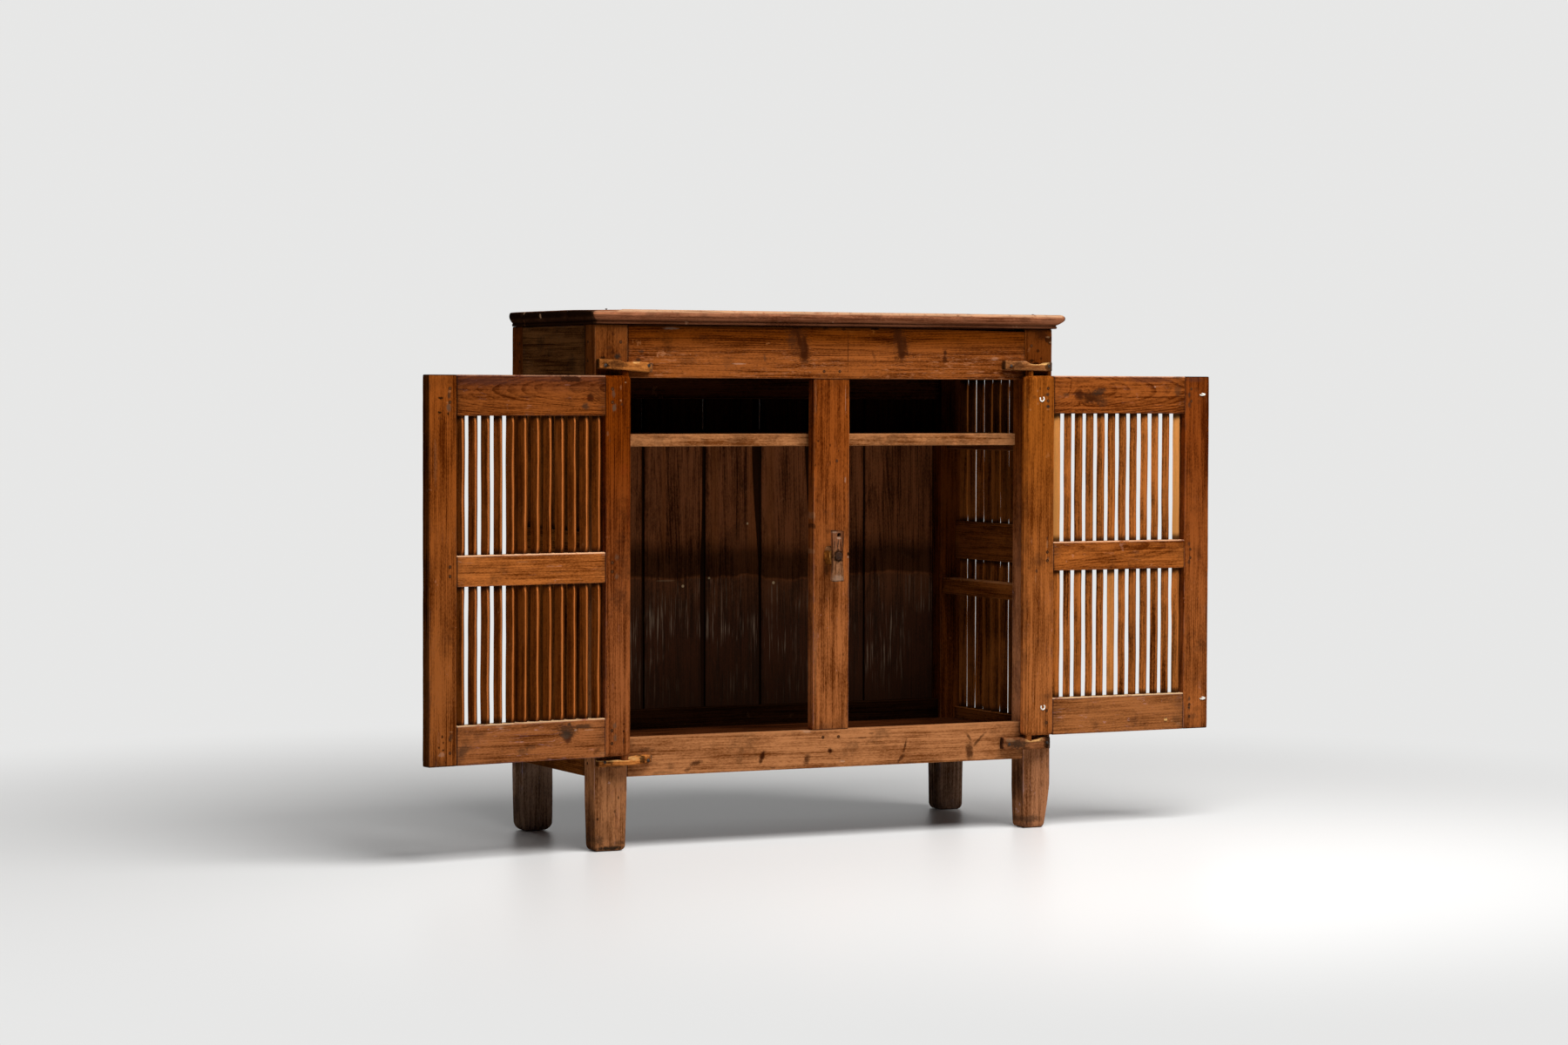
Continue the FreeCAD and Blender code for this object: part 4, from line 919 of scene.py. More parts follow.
def foot(node, rounding, left=0.0, right=0.0, rise=0.12):
    """Rounds a post's foot, and draws its left and right faces in towards the floor."""
    low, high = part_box(node)
    half = (high - low) / 2

    def shape(point):
        height = point.x + half.z
        if height < rise:
            inset = left if point.y < 0 else right
            point.y -= inset * (1.0 - height / rise) ** 1.3 * point.y / half.x
        if height < rounding:
            inset = 0.8 * (rounding - math.sqrt(rounding ** 2 - (rounding - max(height, 0.0)) ** 2))
            ripple = 1.0 + 0.5 * noise.noise(Vector((point.y * 60.0, point.z * 60.0, rounding * 900.0)))
            point.y -= inset * ripple * min(max(point.y / half.x, -1.0), 1.0)
            point.z -= inset * ripple * min(max(point.z / half.y, -1.0), 1.0)
        return point

    return shape


def between(first, second, axis):
    """Trims of a board that stands between two others."""
    low, high = [None] * 3, [None] * 3
    low[axis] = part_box(first)[1][axis]
    high[axis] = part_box(second)[0][axis]
    return {"low": low, "high": high}


def build_posts():
    # For each post: seed, knots, the painted light or shade on its narrow faces, contrast, then how its foot is worn
    posts = {"front_left": (1.3, 0.12, 1.5, 0.22, 0.010, 0.0035, 0.0035),
             "back_left": (2.1, 0.2, 1.5, 0.3, 0.019, 0.003, 0.0),
             "back_right": (3.4, 0.2, 1.0, 0.3, 0.012, 0.002, 0.002),
             "front_right": (4.2, 0.15, 2.0, 0.2, 0.008, 0.0035, 0.0135, 0.086)}
    for corner, (seed, knots, flank_light, contrast, *wear) in posts.items():
        node = corner + "_post"
        board(node, "carcass", "frame_pine", "z", seed, shape=foot(node, *wear), Knots=knots, Flank=flank_light,
              Plain_foot=1.4 if corner == "front_right" else 0.0, Contrast=contrast, Heart=(0.0, 0.075, -0.04),
              Slope=0.012, **HONEY)


def build_rails():
    span = between("front_left_post", "front_right_post", 0)

    def dropped(point):
        if point.y > 0:
            point.y -= 0.0042 * share_of(point.x, 0.19, 0.40) * share_of(point.z, -0.004, 0.004)
        return point

    # Lip paints a highlight, with wear, along the upper edges of the front rails
    board("front_top_rail", "carcass", "frame_pine", "x", 5.0, **span, shape=dropped,
          knots=((-0.0586, 0.006, 0.006, 3.4), (0.1502, 0.006, 0.006, 3.0), (0.2453, 0.002, 0.003, 1.5)), Knots=0.04,
          Heart=(0.0, 0.10, -0.045), Slope=0.012, Lip=0.3, Scuff=0.42, Contrast=0.6, **HONEY)
    board("front_bottom_rail", "carcass", "frame_pine", "x", 6.0, **span, Knots=0.05, Heart=(0.0, 0.09, -0.05),
          Slope=-0.015, Lip=0.6, Scuff=0.15, Contrast=0.3, **RAIL)
    # Flank paints a little light on the mullion's narrow faces
    board("centre_mullion", "carcass", "frame_pine", "z", 7.1, **between("front_bottom_rail", "front_top_rail", 2),
          Knots=0.0, Heart=(0.0, 0.09, -0.035), Slope=0.006, Contrast=0.4, Flank=1.2, **DOOR)
    for seed, level in ((8.0, "top"), (9.0, "bottom")):
        board("back_%s_rail" % level, "carcass", "back_pine", "x", seed, **between("back_left_post",
              "back_right_post", 0), **INSIDE)
    for side, first in (("left", 10.6), ("right", 15.3)):
        for index, level in enumerate(("top", "mid", "bottom")):
            board(side + "_side_" + level + "_rail", "carcass", "frame_pine", "y", first + index * 1.7,
                  **between("front_left_post", "back_left_post", 1), Knots=0.3, **HONEY)


def build_inside():
    for side, seed in (("left", 20.0), ("right", 23.0)):
        board(side + "_shelf_cleat", "carcass", "inside_pine", "y", seed, **INSIDE)
        # Lip paints a highlight, with wear, along the upper edge of each ledge
        board(side + "_shelf_ledge", "carcass", "inside_pine", "y", seed + 1.1, Lip=0.5, **HONEY)
        board(side + "_floor_bearer", "carcass", "inside_pine", "y", seed + 2.2, **INSIDE)


def redress(node, finish):
    """Gives a node that stays as it is a finish of its own."""
    frame["nodes"][node].material_slots[0].material = finish.material


def build_door(side):
    place = door_place(side)
    body = side + "_door"
    left = side == "left"
    first = 30.0 if left else 40.0
    stile = local_box(body + "_hinge_stile", place)
    free = local_box(body + "_free_stile", place)
    upright = {"Heart": (0.0, 0.085, -0.03), "Slope": 0.006, "Knots": 0.03, **DOOR}
    # Flank paints shade on the narrow faces of the left door's free stile and light on those of the right door's hinge
    # stile
    board(body + "_free_stile", body, "door_pine", "z", first + 1.3, base=place,
          low=(None, free[0].y + FACE_ROOM, None), high=(free[1].x - EDGE_ROOM, free[1].y - FACE_ROOM, None),
          Flank=0.5 if left else 1.0, **upright)
    pine_place, size = board_place(*stile, "z", place)
    redress(body + "_hinge_stile", pine(body + "_hinge_stile pine", pine_place, size, first + 2.6, (), place,
                                        Edge_wear=0.2, Flank=1.0 if left else 1.75, **upright))
    figures = {"top": {"Heart": (0.0, 0.012, -0.050), "Slope": 0.075, "Contrast": 0.7, "Ring": 0.0026},
               "mid": {"Heart": (0.0, 0.055, -0.050), "Slope": 0.020, "Contrast": 0.35},
               "bottom": {"Heart": (0.0, 0.070, -0.060), "Slope": 0.018, "Contrast": 0.35}}
    if left:
        knots = {"top": ((-0.122, -0.004, 0.006, 1.0),), "bottom": ((-0.075, 0.004, 0.008, 1.0),)}
    else:
        knots = {"top": ((-0.095, 0.0, 0.009, 1.1),)}
        figures["mid"] = {"Heart": (0.0, 0.016, -0.045), "Slope": 0.050, "Contrast": 0.34, "Ring": 0.0026}
    # Lip paints a highlight, with wear, in the colour LIP along each rail's upper edge
    for index, (level, figure) in enumerate(figures.items()):
        board(body + "_" + level + "_rail", body, "door_pine", "x", first + 4.0 + 1.9 * index, base=place,
              low=(stile[1].x, None, None), high=(free[0].x, None, None), knots=knots.get(level, ()), Knots=0.0,
              Edge_wear=0.12, Lip=0.75, Worn=LIP, **figure, **DOOR)


# Bars, which repeat along a rail

def bar_row_tree():
    """Square bars set corner first along X. Each is hand planed, so it differs a little from the next."""
    net, given = new_tree("row of square bars", {
        "Count": 12, "Pitch": 0.025, "Length": 0.28, "Half diagonal": 0.0086, "End half": 0.0045, "Bevel": 0.007,
        "Socket": 0.008, "Sway": 0.0042, "Golden ends": 0.0, "Seed": 1, "Finish": "Material"})
    wide, golden = given["Half diagonal"], given["Golden ends"]
    rod = net.add("GeometryNodeMeshCylinder", {"Vertices": 6, "Side Segments": 26, "Radius": 1.0,
                                               "Depth": given["Length"]}, fill_type="NGON")["Mesh"]
    at = net.split(net.position())
    half = given["Length"] * 0.5
    grown = net.math("DIVIDE", half - abs(at[2]) - given["Socket"], given["Bevel"], clamp=True)
    flat = grown.scaled(wide * 0.985 - given["End half"], given["End half"])
    ridge = abs(at[1]).under(0.1)
    reach = net.add("ShaderNodeMix", {0: ridge, 2: wide - flat, 3: wide}, data_type="FLOAT")[0]
    shape = net.combine(at[0].sign() * reach, at[1].sign() * flat * (1.0 - ridge), at[2])
    shaped = net.add("GeometryNodeSetPosition", {"Geometry": rod, "Position": shape})["Geometry"]
    local = net.split(net.position())
    grained = net.store("grain", shaped, net.combine(local[2], local[0], local[1]), "FLOAT_VECTOR")
    socketed = net.store("past_socket", grained, half - abs(local[2]) - given["Socket"])

    steps = given["Count"] - 1.0
    start = net.combine(steps * given["Pitch"] * -0.5, 0.0, 0.0)
    line = net.add("GeometryNodeMeshLine", {"Count": given["Count"], "Offset": net.combine(given["Pitch"], 0.0, 0.0),
                                            "Start Location": start}, mode="OFFSET")["Mesh"]
    turn = net.combine(0.0, 0.0, net.chance(-0.10, 0.10, given["Seed"] + 1.0))
    slim = net.chance(0.96, 1.0, given["Seed"] + 2.0)
    index = net.add("GeometryNodeInputIndex")[0]
    outer = abs(index - steps * 0.5).over(steps.scaled(0.5, -0.5)) * golden
    own = net.chance(0.0, 1.0, given["Seed"] + 3.0) * golden.scaled(-0.2, 1.0)
    real = net.stand(line, socketed, turn, slim, own.most(outer))

    tint = net.add("GeometryNodeInputNamedAttribute", {"Name": "tint"}, data_type="FLOAT")[0]
    where = net.split(net.position())
    wave = net.noise(net.combine(tint * 37.0, 0.0, where[2]), 7.0, 1.0)
    free = net.math("DIVIDE", half - abs(where[2]), 0.05, clamp=True)
    sway = net.combine((wave - 0.5) * given["Sway"] * free, 0.0, 0.0)
    return net.dress(net.add("GeometryNodeSetPosition", {"Geometry": real, "Offset": sway})["Geometry"],
                     given["Finish"])


def bar_finish(name, seed, wood, low, paler, ridge, ridge_side):
    """Pine read from each bar's own grain attribute, with a tint of its own, a ridge paled by wear and a painted
    highlight, and darker where it enters the rail.
    """
    finish = Finish(name)
    grain = finish.read("grain", "Vector")
    tint = finish.read("tint")
    moved = finish.vector("ADD", grain, finish.combine(tint * 3.0, 0.0, 0.0))
    lay_pine(finish, moved, (20.0, 0.02, 0.02), seed, (), {**wood, "Knots": 0.0, "Edge_wear": 0.0, "Slope": 0.01,
                                                           "Heart": (0.0, 0.01, -0.02), "Ring": RING_WIDTH * 0.8})
    shade = tint.scaled(1.0 - low, low)
    finish.set(Base_Color=finish.mix(1.0, finish.colour, finish.combine(shade, shade, shade), "MULTIPLY"))
    # Wear and a painted highlight along the ridge, as strong as ridge says, on the side ridge_side gives
    off_ridge = abs(finish.split(grain)[1] + ridge_side * 0.0012)
    rubbed = (off_ridge + finish.noise(moved, (16.0, 60.0, 60.0), 3.0, 0.6) * 0.003).step(0.0046, 0.0026)
    # Darker where the bar enters the rail
    ends = tint.scaled(-0.006, finish.read("past_socket")).step(0.010, -0.002)
    finish.coat((tint.step(0.72, 1.0) * paler, BAR_PALE), (rubbed * ridge, BAR_WEAR_AND_HIGHLIGHT), (ends * 0.85, GRIME_AND_SHADE))
    return finish.material


def build_bars():
    tree = bar_row_tree()
    # For each body: finish, full diagonal, fullness, how far it sways, and the diagonal at its ends
    # The left door's bars take the shaded copy of the pine, painted shade
    kinds = {"left_door": (bar_finish("left door bar pine", 51.0, {"Pale": BAR_SHADED, "Dark": DOOR["Dark"]}, 0.72, 0.0,
                                      0.85, 1.0), 0.01895, 1.025, 0.0042, BAR_END),
             "right_door": (bar_finish("right door bar pine", 53.0, {"Pale": BAR_WARM, "Dark": DOOR["Dark"]}, 0.68,
                                       0.6, 0.3, -1.0), 0.01782, 1.0, 0.0042, BAR_END),
             "carcass": (bar_finish("side bar pine", 57.0, HONEY, 0.6, 0.0, 0.1, 1.0), 0.01725, 1.14, 0.0022,
                         SIDE_BAR_END)}
    rows = []
    for side in ("left", "right"):
        rows += [(side + "_door", side + "_door_" + tier, door_place(side), DOOR_BARS) for tier in ("upper", "lower")]
        turn = Matrix.Rotation(math.pi / 2, 4, "Z")
        rows += [("carcass", side + "_side_" + tier, turn, SIDE_BARS) for tier in ("upper", "lower")]
    for number, (body, row, place, count) in enumerate(rows):
        node = row + "_bars"
        finish, diagonal, fullness, sway, end = kinds[body]
        low, high = local_box(node, place)
        values = {"Count": count, "Pitch": (high.x - low.x - diagonal) / (count - 1), "Length": high.z - low.z,
                  "Half diagonal": diagonal * fullness / 2, "End half": end / 2, "Bevel": BAR_BEVEL,
                  "Socket": BAR_SOCKET, "Sway": sway, "Golden ends": 1.0 if row == "right_door_upper" else 0.0,
                  "Seed": 11 * number + 3, "Finish": finish}
        mesh = modified(node + "_planed", bpy.data.meshes.new("row"), "NODES", node_group=tree, values=values)
        mesh.transform(place @ Matrix.Translation((low + high) / 2))
        add_piece(node + "_planed", mesh, body, "bar_pine", node)


# Pegs and nails, which repeat

def driven_tree():
    """A peg or forged nail on every point: a shank, and a head of two faceted steps."""
    net, given = new_tree("driven pegs and nails", {
        "Points": "Geometry", "Sides": 8, "Head radius": 0.003, "Crown radius": 0.002, "Head height": 0.001,
        "Shank radius": 0.0015, "Shank length": 0.02, "Seed": 1, "Finish": "Material"})

    def turned(bottom, top, depth, level):
        step = net.add("GeometryNodeMeshCone", {"Vertices": given["Sides"], "Radius Bottom": bottom, "Radius Top": top,
                                                "Depth": depth}, fill_type="NGON")["Mesh"]
        return net.add("GeometryNodeTransform", {"Geometry": step, "Translation": net.combine(0.0, 0.0, level)})[0]

    shank, depth, crown = given["Shank radius"], given["Shank length"], given["Crown radius"]
    lower = given["Head height"] * 0.55
    parts = [turned(shank, shank, depth, depth * -1.0), turned(given["Head radius"], crown, lower, 0.0),
             turned(crown, crown * 0.5, given["Head height"] * 0.45, lower)]
    grained = net.store("grain", net.add("GeometryNodeJoinGeometry", {0: parts})[0], net.position(), "FLOAT_VECTOR")
    turn = net.add("GeometryNodeInputNamedAttribute", {"Name": "turn"}, data_type="FLOAT_VECTOR")[0]
    size = net.chance(0.86, 1.0, given["Seed"])
    return net.dress(net.stand(given["Points"], grained, turn, size, size), given["Finish"])


def drive(node, body, slot, spots, finish, tree, values):
    """Stands a peg or nail at each (point, direction it faces), in place of a node."""
    mesh = bpy.data.meshes.new(node + " points")
    mesh.from_pydata([point for point, _ in spots], [], [])
    turns = mesh.attributes.new("turn", "FLOAT_VECTOR", "POINT")
    for index, (_, direction) in enumerate(spots):
        facing = Vector(direction).to_track_quat("Z", "Y").to_matrix()
        turns.data[index].vector = (facing @ Matrix.Rotation(index * GOLDEN_TURN, 3, "Z")).to_euler()
    names = ("Head radius", "Crown radius", "Head height", "Shank radius", "Shank length", "Sides", "Seed")
    values = {**dict(zip(names, values)), "Finish": finish}
    made = modified(node + "_driven", mesh, "NODES", node_group=tree, values=values)
    add_piece(node + "_driven", made, body, slot, node)


def peg_finish():
    """Old end grain, greyish in the middle, with dirt packed round it."""
    finish = Finish("peg end grain")
    grain = finish.read("grain", "Vector")
    at = finish.split(grain)
    away = finish.vector("LENGTH", finish.combine(at[0], at[1], 0.0))
    moved = finish.vector("ADD", grain, finish.combine(finish.read("tint") * 5.0, 0.0, 0.0))
    patch = finish.noise(moved, 620.0, 3.0, 0.7)
    colour = finish.mix(patch.step(0.36, 0.62), PEG_PALE, PEG_DARK)
    finish.set(Base_Color=finish.mix(away.step(0.0021, 0.0030) * 0.85, colour, GRIME_AND_SHADE),
               Roughness=patch.scaled(0.3, 0.55), Specular_IOR_Level=0.0)
    finish.relief(patch, 0.7, 0.0004)
    return finish.material


def iron_finish(name, base, rust):
    """Forged iron, mottled with rust."""
    finish = Finish(name)
    patch = finish.noise(finish.place(), 330.0, 4.0, 0.65)
    finish.set(Base_Color=finish.mix(patch.step(0.4, 0.62), base, rust), Roughness=patch.scaled(0.35, 0.35),
               Specular_IOR_Level=0.02)
    finish.relief(finish.noise(finish.place(), 900.0, 3.0, 0.6), 0.7, 0.0004)
    return finish.material


def build_pegs_and_nails():
    tree = driven_tree()
    wood = peg_finish()
    iron = iron_finish("dark iron", IRON, RUST)
    grey = iron_finish("grey iron", IRON_GREY, IRON)
    peg = (PEG_RADIUS, PEG_RADIUS * 0.9, PEG_PROUD, PEG_RADIUS)
    for side in ("left", "right"):
        out = (door_place(side).to_3x3() @ Vector((0, 1, 0))).normalized()
        spots = [((low + high) / 2 + out * (sign * PEG_FACE), out * sign)
                 for low, high in solids_of(side + "_door_pegs") for sign in (1, -1)]
        drive(side + "_door_pegs", side + "_door", "peg_wood", spots, wood, tree, (*peg, 0.005, 9, 5))
    spots = []
    for low, high in solids_of("case_pegs"):
        middle = (low + high) / 2
        if high.x - low.x > high.y - low.y:
            sign = math.copysign(1.0, middle.x)
            face = low.x if sign < 0 else high.x
            spots.append((Vector((face - sign * PEG_PROUD, middle.y, middle.z)), (sign, 0, 0)))
        else:
            spots.append((Vector((middle.x, low.y + PEG_PROUD, middle.z)), (0, -1, 0)))
    drive("case_pegs", "carcass", "peg_wood", spots, wood, tree, (*peg, 0.009, 9, 9))

    for node, direction, finish in (("top_nails", (0, 0, 1), iron), ("floor_nails", (0, 0, 1), iron),
                                    ("back_board_nails", (0, 1, 0), iron), ("pivot_block_nails", (0, -1, 0), grey)):
        axis = Vector(direction)
        spots = []
        for low, high in solids_of(node):
            reach = abs((high - low).dot(axis)) / 2
            radius = min(high.x - low.x, high.z - low.z if axis.y else high.y - low.y) / 2
            spots.append(((low + high) / 2 + axis * (reach - NAIL_HEIGHT), axis))
        drive(node, "carcass", "iron_nails", spots, finish, tree,
              (radius, radius * 0.7, NAIL_HEIGHT, radius * 0.4, 2 * reach - NAIL_HEIGHT - 0.0005, 7, 13))


# Back boards, which lap

def lapped_mesh(name, size, seed, lap):
    """A back board: sawn edges, and a sunk strip down its left side that is as wide as lap says."""
    length, width, thickness = size
    count = round(length / 0.02)
    front = thickness / 2 - 0.0002
    chamfer = 0.0012
    rim = 0.004
    rings = []
    for index in range(count + 1):
        along = -length / 2 + length * index / count
        ripple = noise.noise(Vector((along * 5.0, seed * 3.1, 0.0)))
        wave = 0.0006 * noise.noise(Vector((along * 8.0, seed * 1.7, 4.0)))
        left = -width / 2
        sunk = left + max(lap(along) * (1.0 + 0.25 * ripple), 0.0006)
        right = width / 2 - 0.0004 - abs(wave)
        outline = [(left, -thickness / 2), (right, -thickness / 2), (right, front - chamfer),
                   (right - chamfer, front), (right - rim, front)]
        span = right - rim - (sunk + rim)
        for share in (0.25, 0.5, 0.75):
            cup = 0.0006 * math.sin(math.pi * share) * (0.6 + noise.noise(Vector((along * 4.0, share * 3.0, seed))))
            outline.append((right - rim - span * share, front - max(cup, 0.0)))
        outline += [(sunk + rim, front), (sunk + chamfer, front), (sunk, front - chamfer),
                    (sunk - 0.0004, front - LAP_DEPTH), (left, front - LAP_DEPTH)]
        rings.append([(along, y, z) for y, z in outline])
    return skin(name, rings, smooth=False)


def build_back_boards():
    whole = bmesh.new()
    joined = bpy.data.meshes.new("back_boards_lapped")
    for index, (low, high) in enumerate(solids_of("back_boards")):
        place, size = board_place(low, high, "z")
        place = place @ Matrix.Rotation(math.pi, 4, "X")
        top, bottom, shade, figure = BACK_LOOKS[index]
        mesh = lapped_mesh("back board", size, 80.0 + index,
                           lambda along: bottom + (top - bottom) * share_of(along, -0.05, 0.20))
        mesh.transform(place)
        finish = pine("back board %d pine" % (index + 1), place, size, 80.0 + 1.7 * index, Shade=shade,
                      Heart=(0.0, 0.02 + 0.05 * (1 - figure), -0.05), Slope=0.03 + 0.04 * figure, Contrast=0.42,
                      Knots=0.08, Edge_wear=0.1, **INSIDE)
        stain_and_shade_back(finish, place)
        start = len(whole.faces)
        whole.from_mesh(mesh)
        whole.faces.ensure_lookup_table()
        for face in whole.faces[start:]:
            face.material_index = index
        joined.materials.append(finish.material)
    whole.to_mesh(joined)
    whole.free()
    add_piece("back_boards_lapped", joined, "carcass", "back_pine", "back_boards")


def stain_and_shade_back(finish, place):
    """Old water marks: a tide line, a dark band over it and pale scrubs under it; painted shade above the shelf, and
    painted shade with dirt in the sunk strips; darker towards the floor; painted spots and slits of light.
    """
    where = finish.place()
    at = finish.split(where)
    height = (finish.noise(where, (7.0, 7.0, 3.0), 4.0, 0.6) - 0.5).scaled(0.05, at[2])
    for middle, reach in BACK_SAPWOOD:
        pale = abs(at[0] - middle).step(reach, reach * 0.4) * at[2].step(TIDE - 0.05, TIDE + 0.08)
        finish.coat((pale * 0.4, BACK_SAP))
    band = height.step(TIDE, TIDE + 0.006) * height.step(TIDE + 0.085, TIDE + 0.04)
    below = height.step(TIDE + 0.004, TIDE - 0.004)
    fresh = below * finish.noise(where, (260.0, 1.0, 9.0), 3.0, 0.6).step(0.53, 0.68)
    fresh = fresh * finish.noise(where, 11.0, 3.0).step(0.42, 0.62) * at[2].step(0.20, 0.34)
    # Painted shade above the shelf, and darker towards the floor
    above_shelf = at[2].step(0.745, 0.775)
    near_floor = at[2].step(0.40, 0.18)
    finish.coat((band * 0.7, GRIME_AND_SHADE), (below * 0.45, ASH), (fresh * 0.75, CHALK),
                (above_shelf.most(near_floor) * 0.72, GRIME_AND_SHADE))
    for x, z, width, height, share in BACK_SPOTS:
        spot = finish.vector("MULTIPLY", finish.combine(at[0] - x, 0.0, at[2] - z), (1.0 / width, 0.0, 1.0 / height))
        finish.coat((finish.vector("LENGTH", spot).step(1.1, 0.6) * share, BACK_LIGHT))
    # Painted shade, with dirt, in the sunk strip of each lap
    lapped = BACK_FACE - LAP_DEPTH
    finish.coat((finish.split(finish.board_grain(place))[2].step(lapped + 0.001, lapped) * 0.92, GRIME_AND_SHADE))
    for x in BACK_SLITS:
        slit = abs(at[0] - x).step(0.0016, 0.0007) * at[2].step(0.772, 0.78)
        inner_face = at[1].step(0.186, 0.184)
        finish.coat((slit * inner_face * 0.9, DAYLIGHT))


# Carved pieces

def carve(name, node, body, slot, voxel, shape, roughness, material):
    """Softens a node's own shape, works it over with a knife and dresses it."""
    mesh = modified(name, poured(merged(node), name + " rough"), "REMESH", mode="VOXEL", voxel_size=voxel)
    made = bmesh.new()
    made.from_mesh(mesh)
    for _ in range(2):
        bmesh.ops.smooth_vert(made, verts=made.verts, factor=0.5, use_axis_x=True, use_axis_y=True, use_axis_z=True)
    made.normal_update()
    for vertex in made.verts:
        spot = vertex.co * 1.0
        chip = noise.noise(spot * 120.0) + 0.5 * noise.noise(spot * 330.0)
        vertex.co = shape(spot.copy()) - vertex.normal * (roughness * (chip + 0.6))
    bmesh.ops.recalc_face_normals(made, faces=made.faces)
    for face in made.faces:
        face.smooth = True
    made.to_mesh(mesh)
    made.free()
    mesh.materials.clear()
    mesh.materials.append(material)
    add_piece(name, mesh, body, slot, node)


def build_blocks():
    # For each block: its wood, and the middle, half width and depth of the hollow in its upper edge
    blocks = {"top_left": (GOLD, -0.4135, 0.006, 0.0035), "top_right": (TAN, 0.445, 0.020, 0.0065),
              "bottom_left": (GOLD, -0.455, 0.040, 0.0045), "bottom_right": (GOLD, 0.437, 0.016, 0.0050)}
    for index, (corner, (wood, centre, reach, depth)) in enumerate(blocks.items()):
        node = corner + "_pivot_block"
        low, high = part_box(node)
        place, size = board_place(low, high, "x")
        finish = pine(node + " pine", place, size, 65.0 + 1.9 * index, Heart=(0.0, 0.03, -0.03), Slope=0.05,
                      Ring=0.003, Knots=0.0, Edge_wear=1.0, Dirt=0.7, Contrast=0.2, **wood)
        polish_block(finish, high, centre, reach)

        def scooped(point):
            share = share_of(point.z, (low.z + high.z) / 2, high.z)
            point.z -= depth * share * math.exp(-((point.x - centre) / reach) ** 4)
            return point

        carve(node + "_carved", node, "carcass", "golden_pine", 0.0013, scooped, 0.0006, finish.material)


def polish_block(finish, high, centre, reach):
    """Rubbed gold on a block's upper face and in its hollow, and grey handling dirt at its right end."""
    where = finish.place()
    at = finish.split(where)
    patch = finish.noise(where, 90.0, 3.0, 0.6)
    near = abs(at[0] - centre).step(reach * 1.5, reach * 0.6)
    rub = near * at[2].step(high.z - 0.0105, high.z - 0.0065) * patch.step(0.3, 0.5)
    end = at[0].step(high.x - 0.010, high.x - 0.004) * patch.step(0.34, 0.56)
    finish.coat((rub * 0.85, GOLD["Worn"]), (end * 0.75, HANDLING))


def build_button():
    low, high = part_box("turn_button")
    place, size = board_place(low, high, "z")
    # Flank paints light on the button's narrow faces
    finish = pine("turn_button pine", place, size, 70.3, Heart=(0.0, 0.02, -0.03), Slope=0.03, Ring=0.0025,
                  Knots=0.0, Edge_wear=0.9, Dirt=0.5, Contrast=0.9, Flank=3.0, **BUTTON)
    middle = (low + high) / 2
    top = high

    def waisted(point):
        rise = (point.z - middle.z) / (top.z - middle.z)
        side = (point.x - middle.x) / (top.x - middle.x)
        hole = math.hypot(point.x - middle.x - 0.0012, point.z - (top.z - 0.0085))
        if point.y < middle.y:
            point.y += 0.0045 * math.exp(-(hole / 0.0022) ** 4)
        point.z -= 0.0012 * side * max(rise, 0.0)
        point.x -= 0.0010 * side * math.exp(-((rise + 0.25) / 0.3) ** 2)
        return point

    carve("turn_button_carved", "turn_button", "turn_button", "button_pine", 0.0011, waisted, 0.0005,
          finish.material)
    low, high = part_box("turn_button_spacer")
    place, size = board_place(low, high, "z")
    # Flank paints light on the spacer's narrow faces
    finish = pine("turn_button_spacer pine", place, size, 71.9, Heart=(0.0, 0.02, -0.03), Ring=0.0025, Knots=0.0,
                  Edge_wear=0.8, Dirt=0.5, Flank=1.5, **GOLD)
    centre = (low + high) / 2

    def rounded(point):
        rise = (point.z - centre.z) / (high.z - centre.z)
        point.x = centre.x + (point.x - centre.x) * math.sqrt(max(1.0 - 0.72 * rise * rise, 0.05))
        return point

    carve("turn_button_spacer_carved", "turn_button_spacer", "carcass", "button_pine", 0.0012, rounded, 0.0005,
          finish.material)
    carve("turn_button_nail_forged", "turn_button_nail", "carcass", "iron_nails", 0.0007, lambda point: point,
          0.0003, iron_finish("hand forged nail", IRON, RUST))


def build_eyes():
    """Open hooks of white-coated wire, bent flat against the door."""
    place = door_place("right")
    back = place.inverted()
    made = bmesh.new()
    for low, high in solids_of("right_door_curtain_eyes"):
        middle = back @ ((low + high) / 2)
        middle.y = min((back @ low).y, (back @ high).y) + EYE_WIRE
        # Those at the free edge are seen as short dashes
        start, wide, tall = (200, 1.35, 0.35) if middle.x > 0.2 else (150, 1.0, 1.0)
        path = []
        for step in range(15):
            angle = math.radians(start + EYE_SWEEP * step / 14)
            x, z = EYE_WIDTH * wide * math.cos(angle), EYE_HEIGHT * tall * math.sin(angle)
            path.append(middle + Vector((x, 0.0, z)))
        path.append(path[-1] + Vector((0.0, 0.003, 0.0)))
        path.append(path[-1] + Vector((0.0, 0.005, 0.0)))
        sweep_tube(made, [place @ point for point in path], EYE_WIRE, 8)
    for face in made.faces:
        face.smooth = True
    bmesh.ops.recalc_face_normals(made, faces=made.faces)
    mesh = poured(made, "right_door_curtain_eyes_bent")
    mesh.materials.append(coated_wire())
    add_piece("right_door_curtain_eyes_bent", mesh, "right_door", "white_wire", "right_door_curtain_eyes")


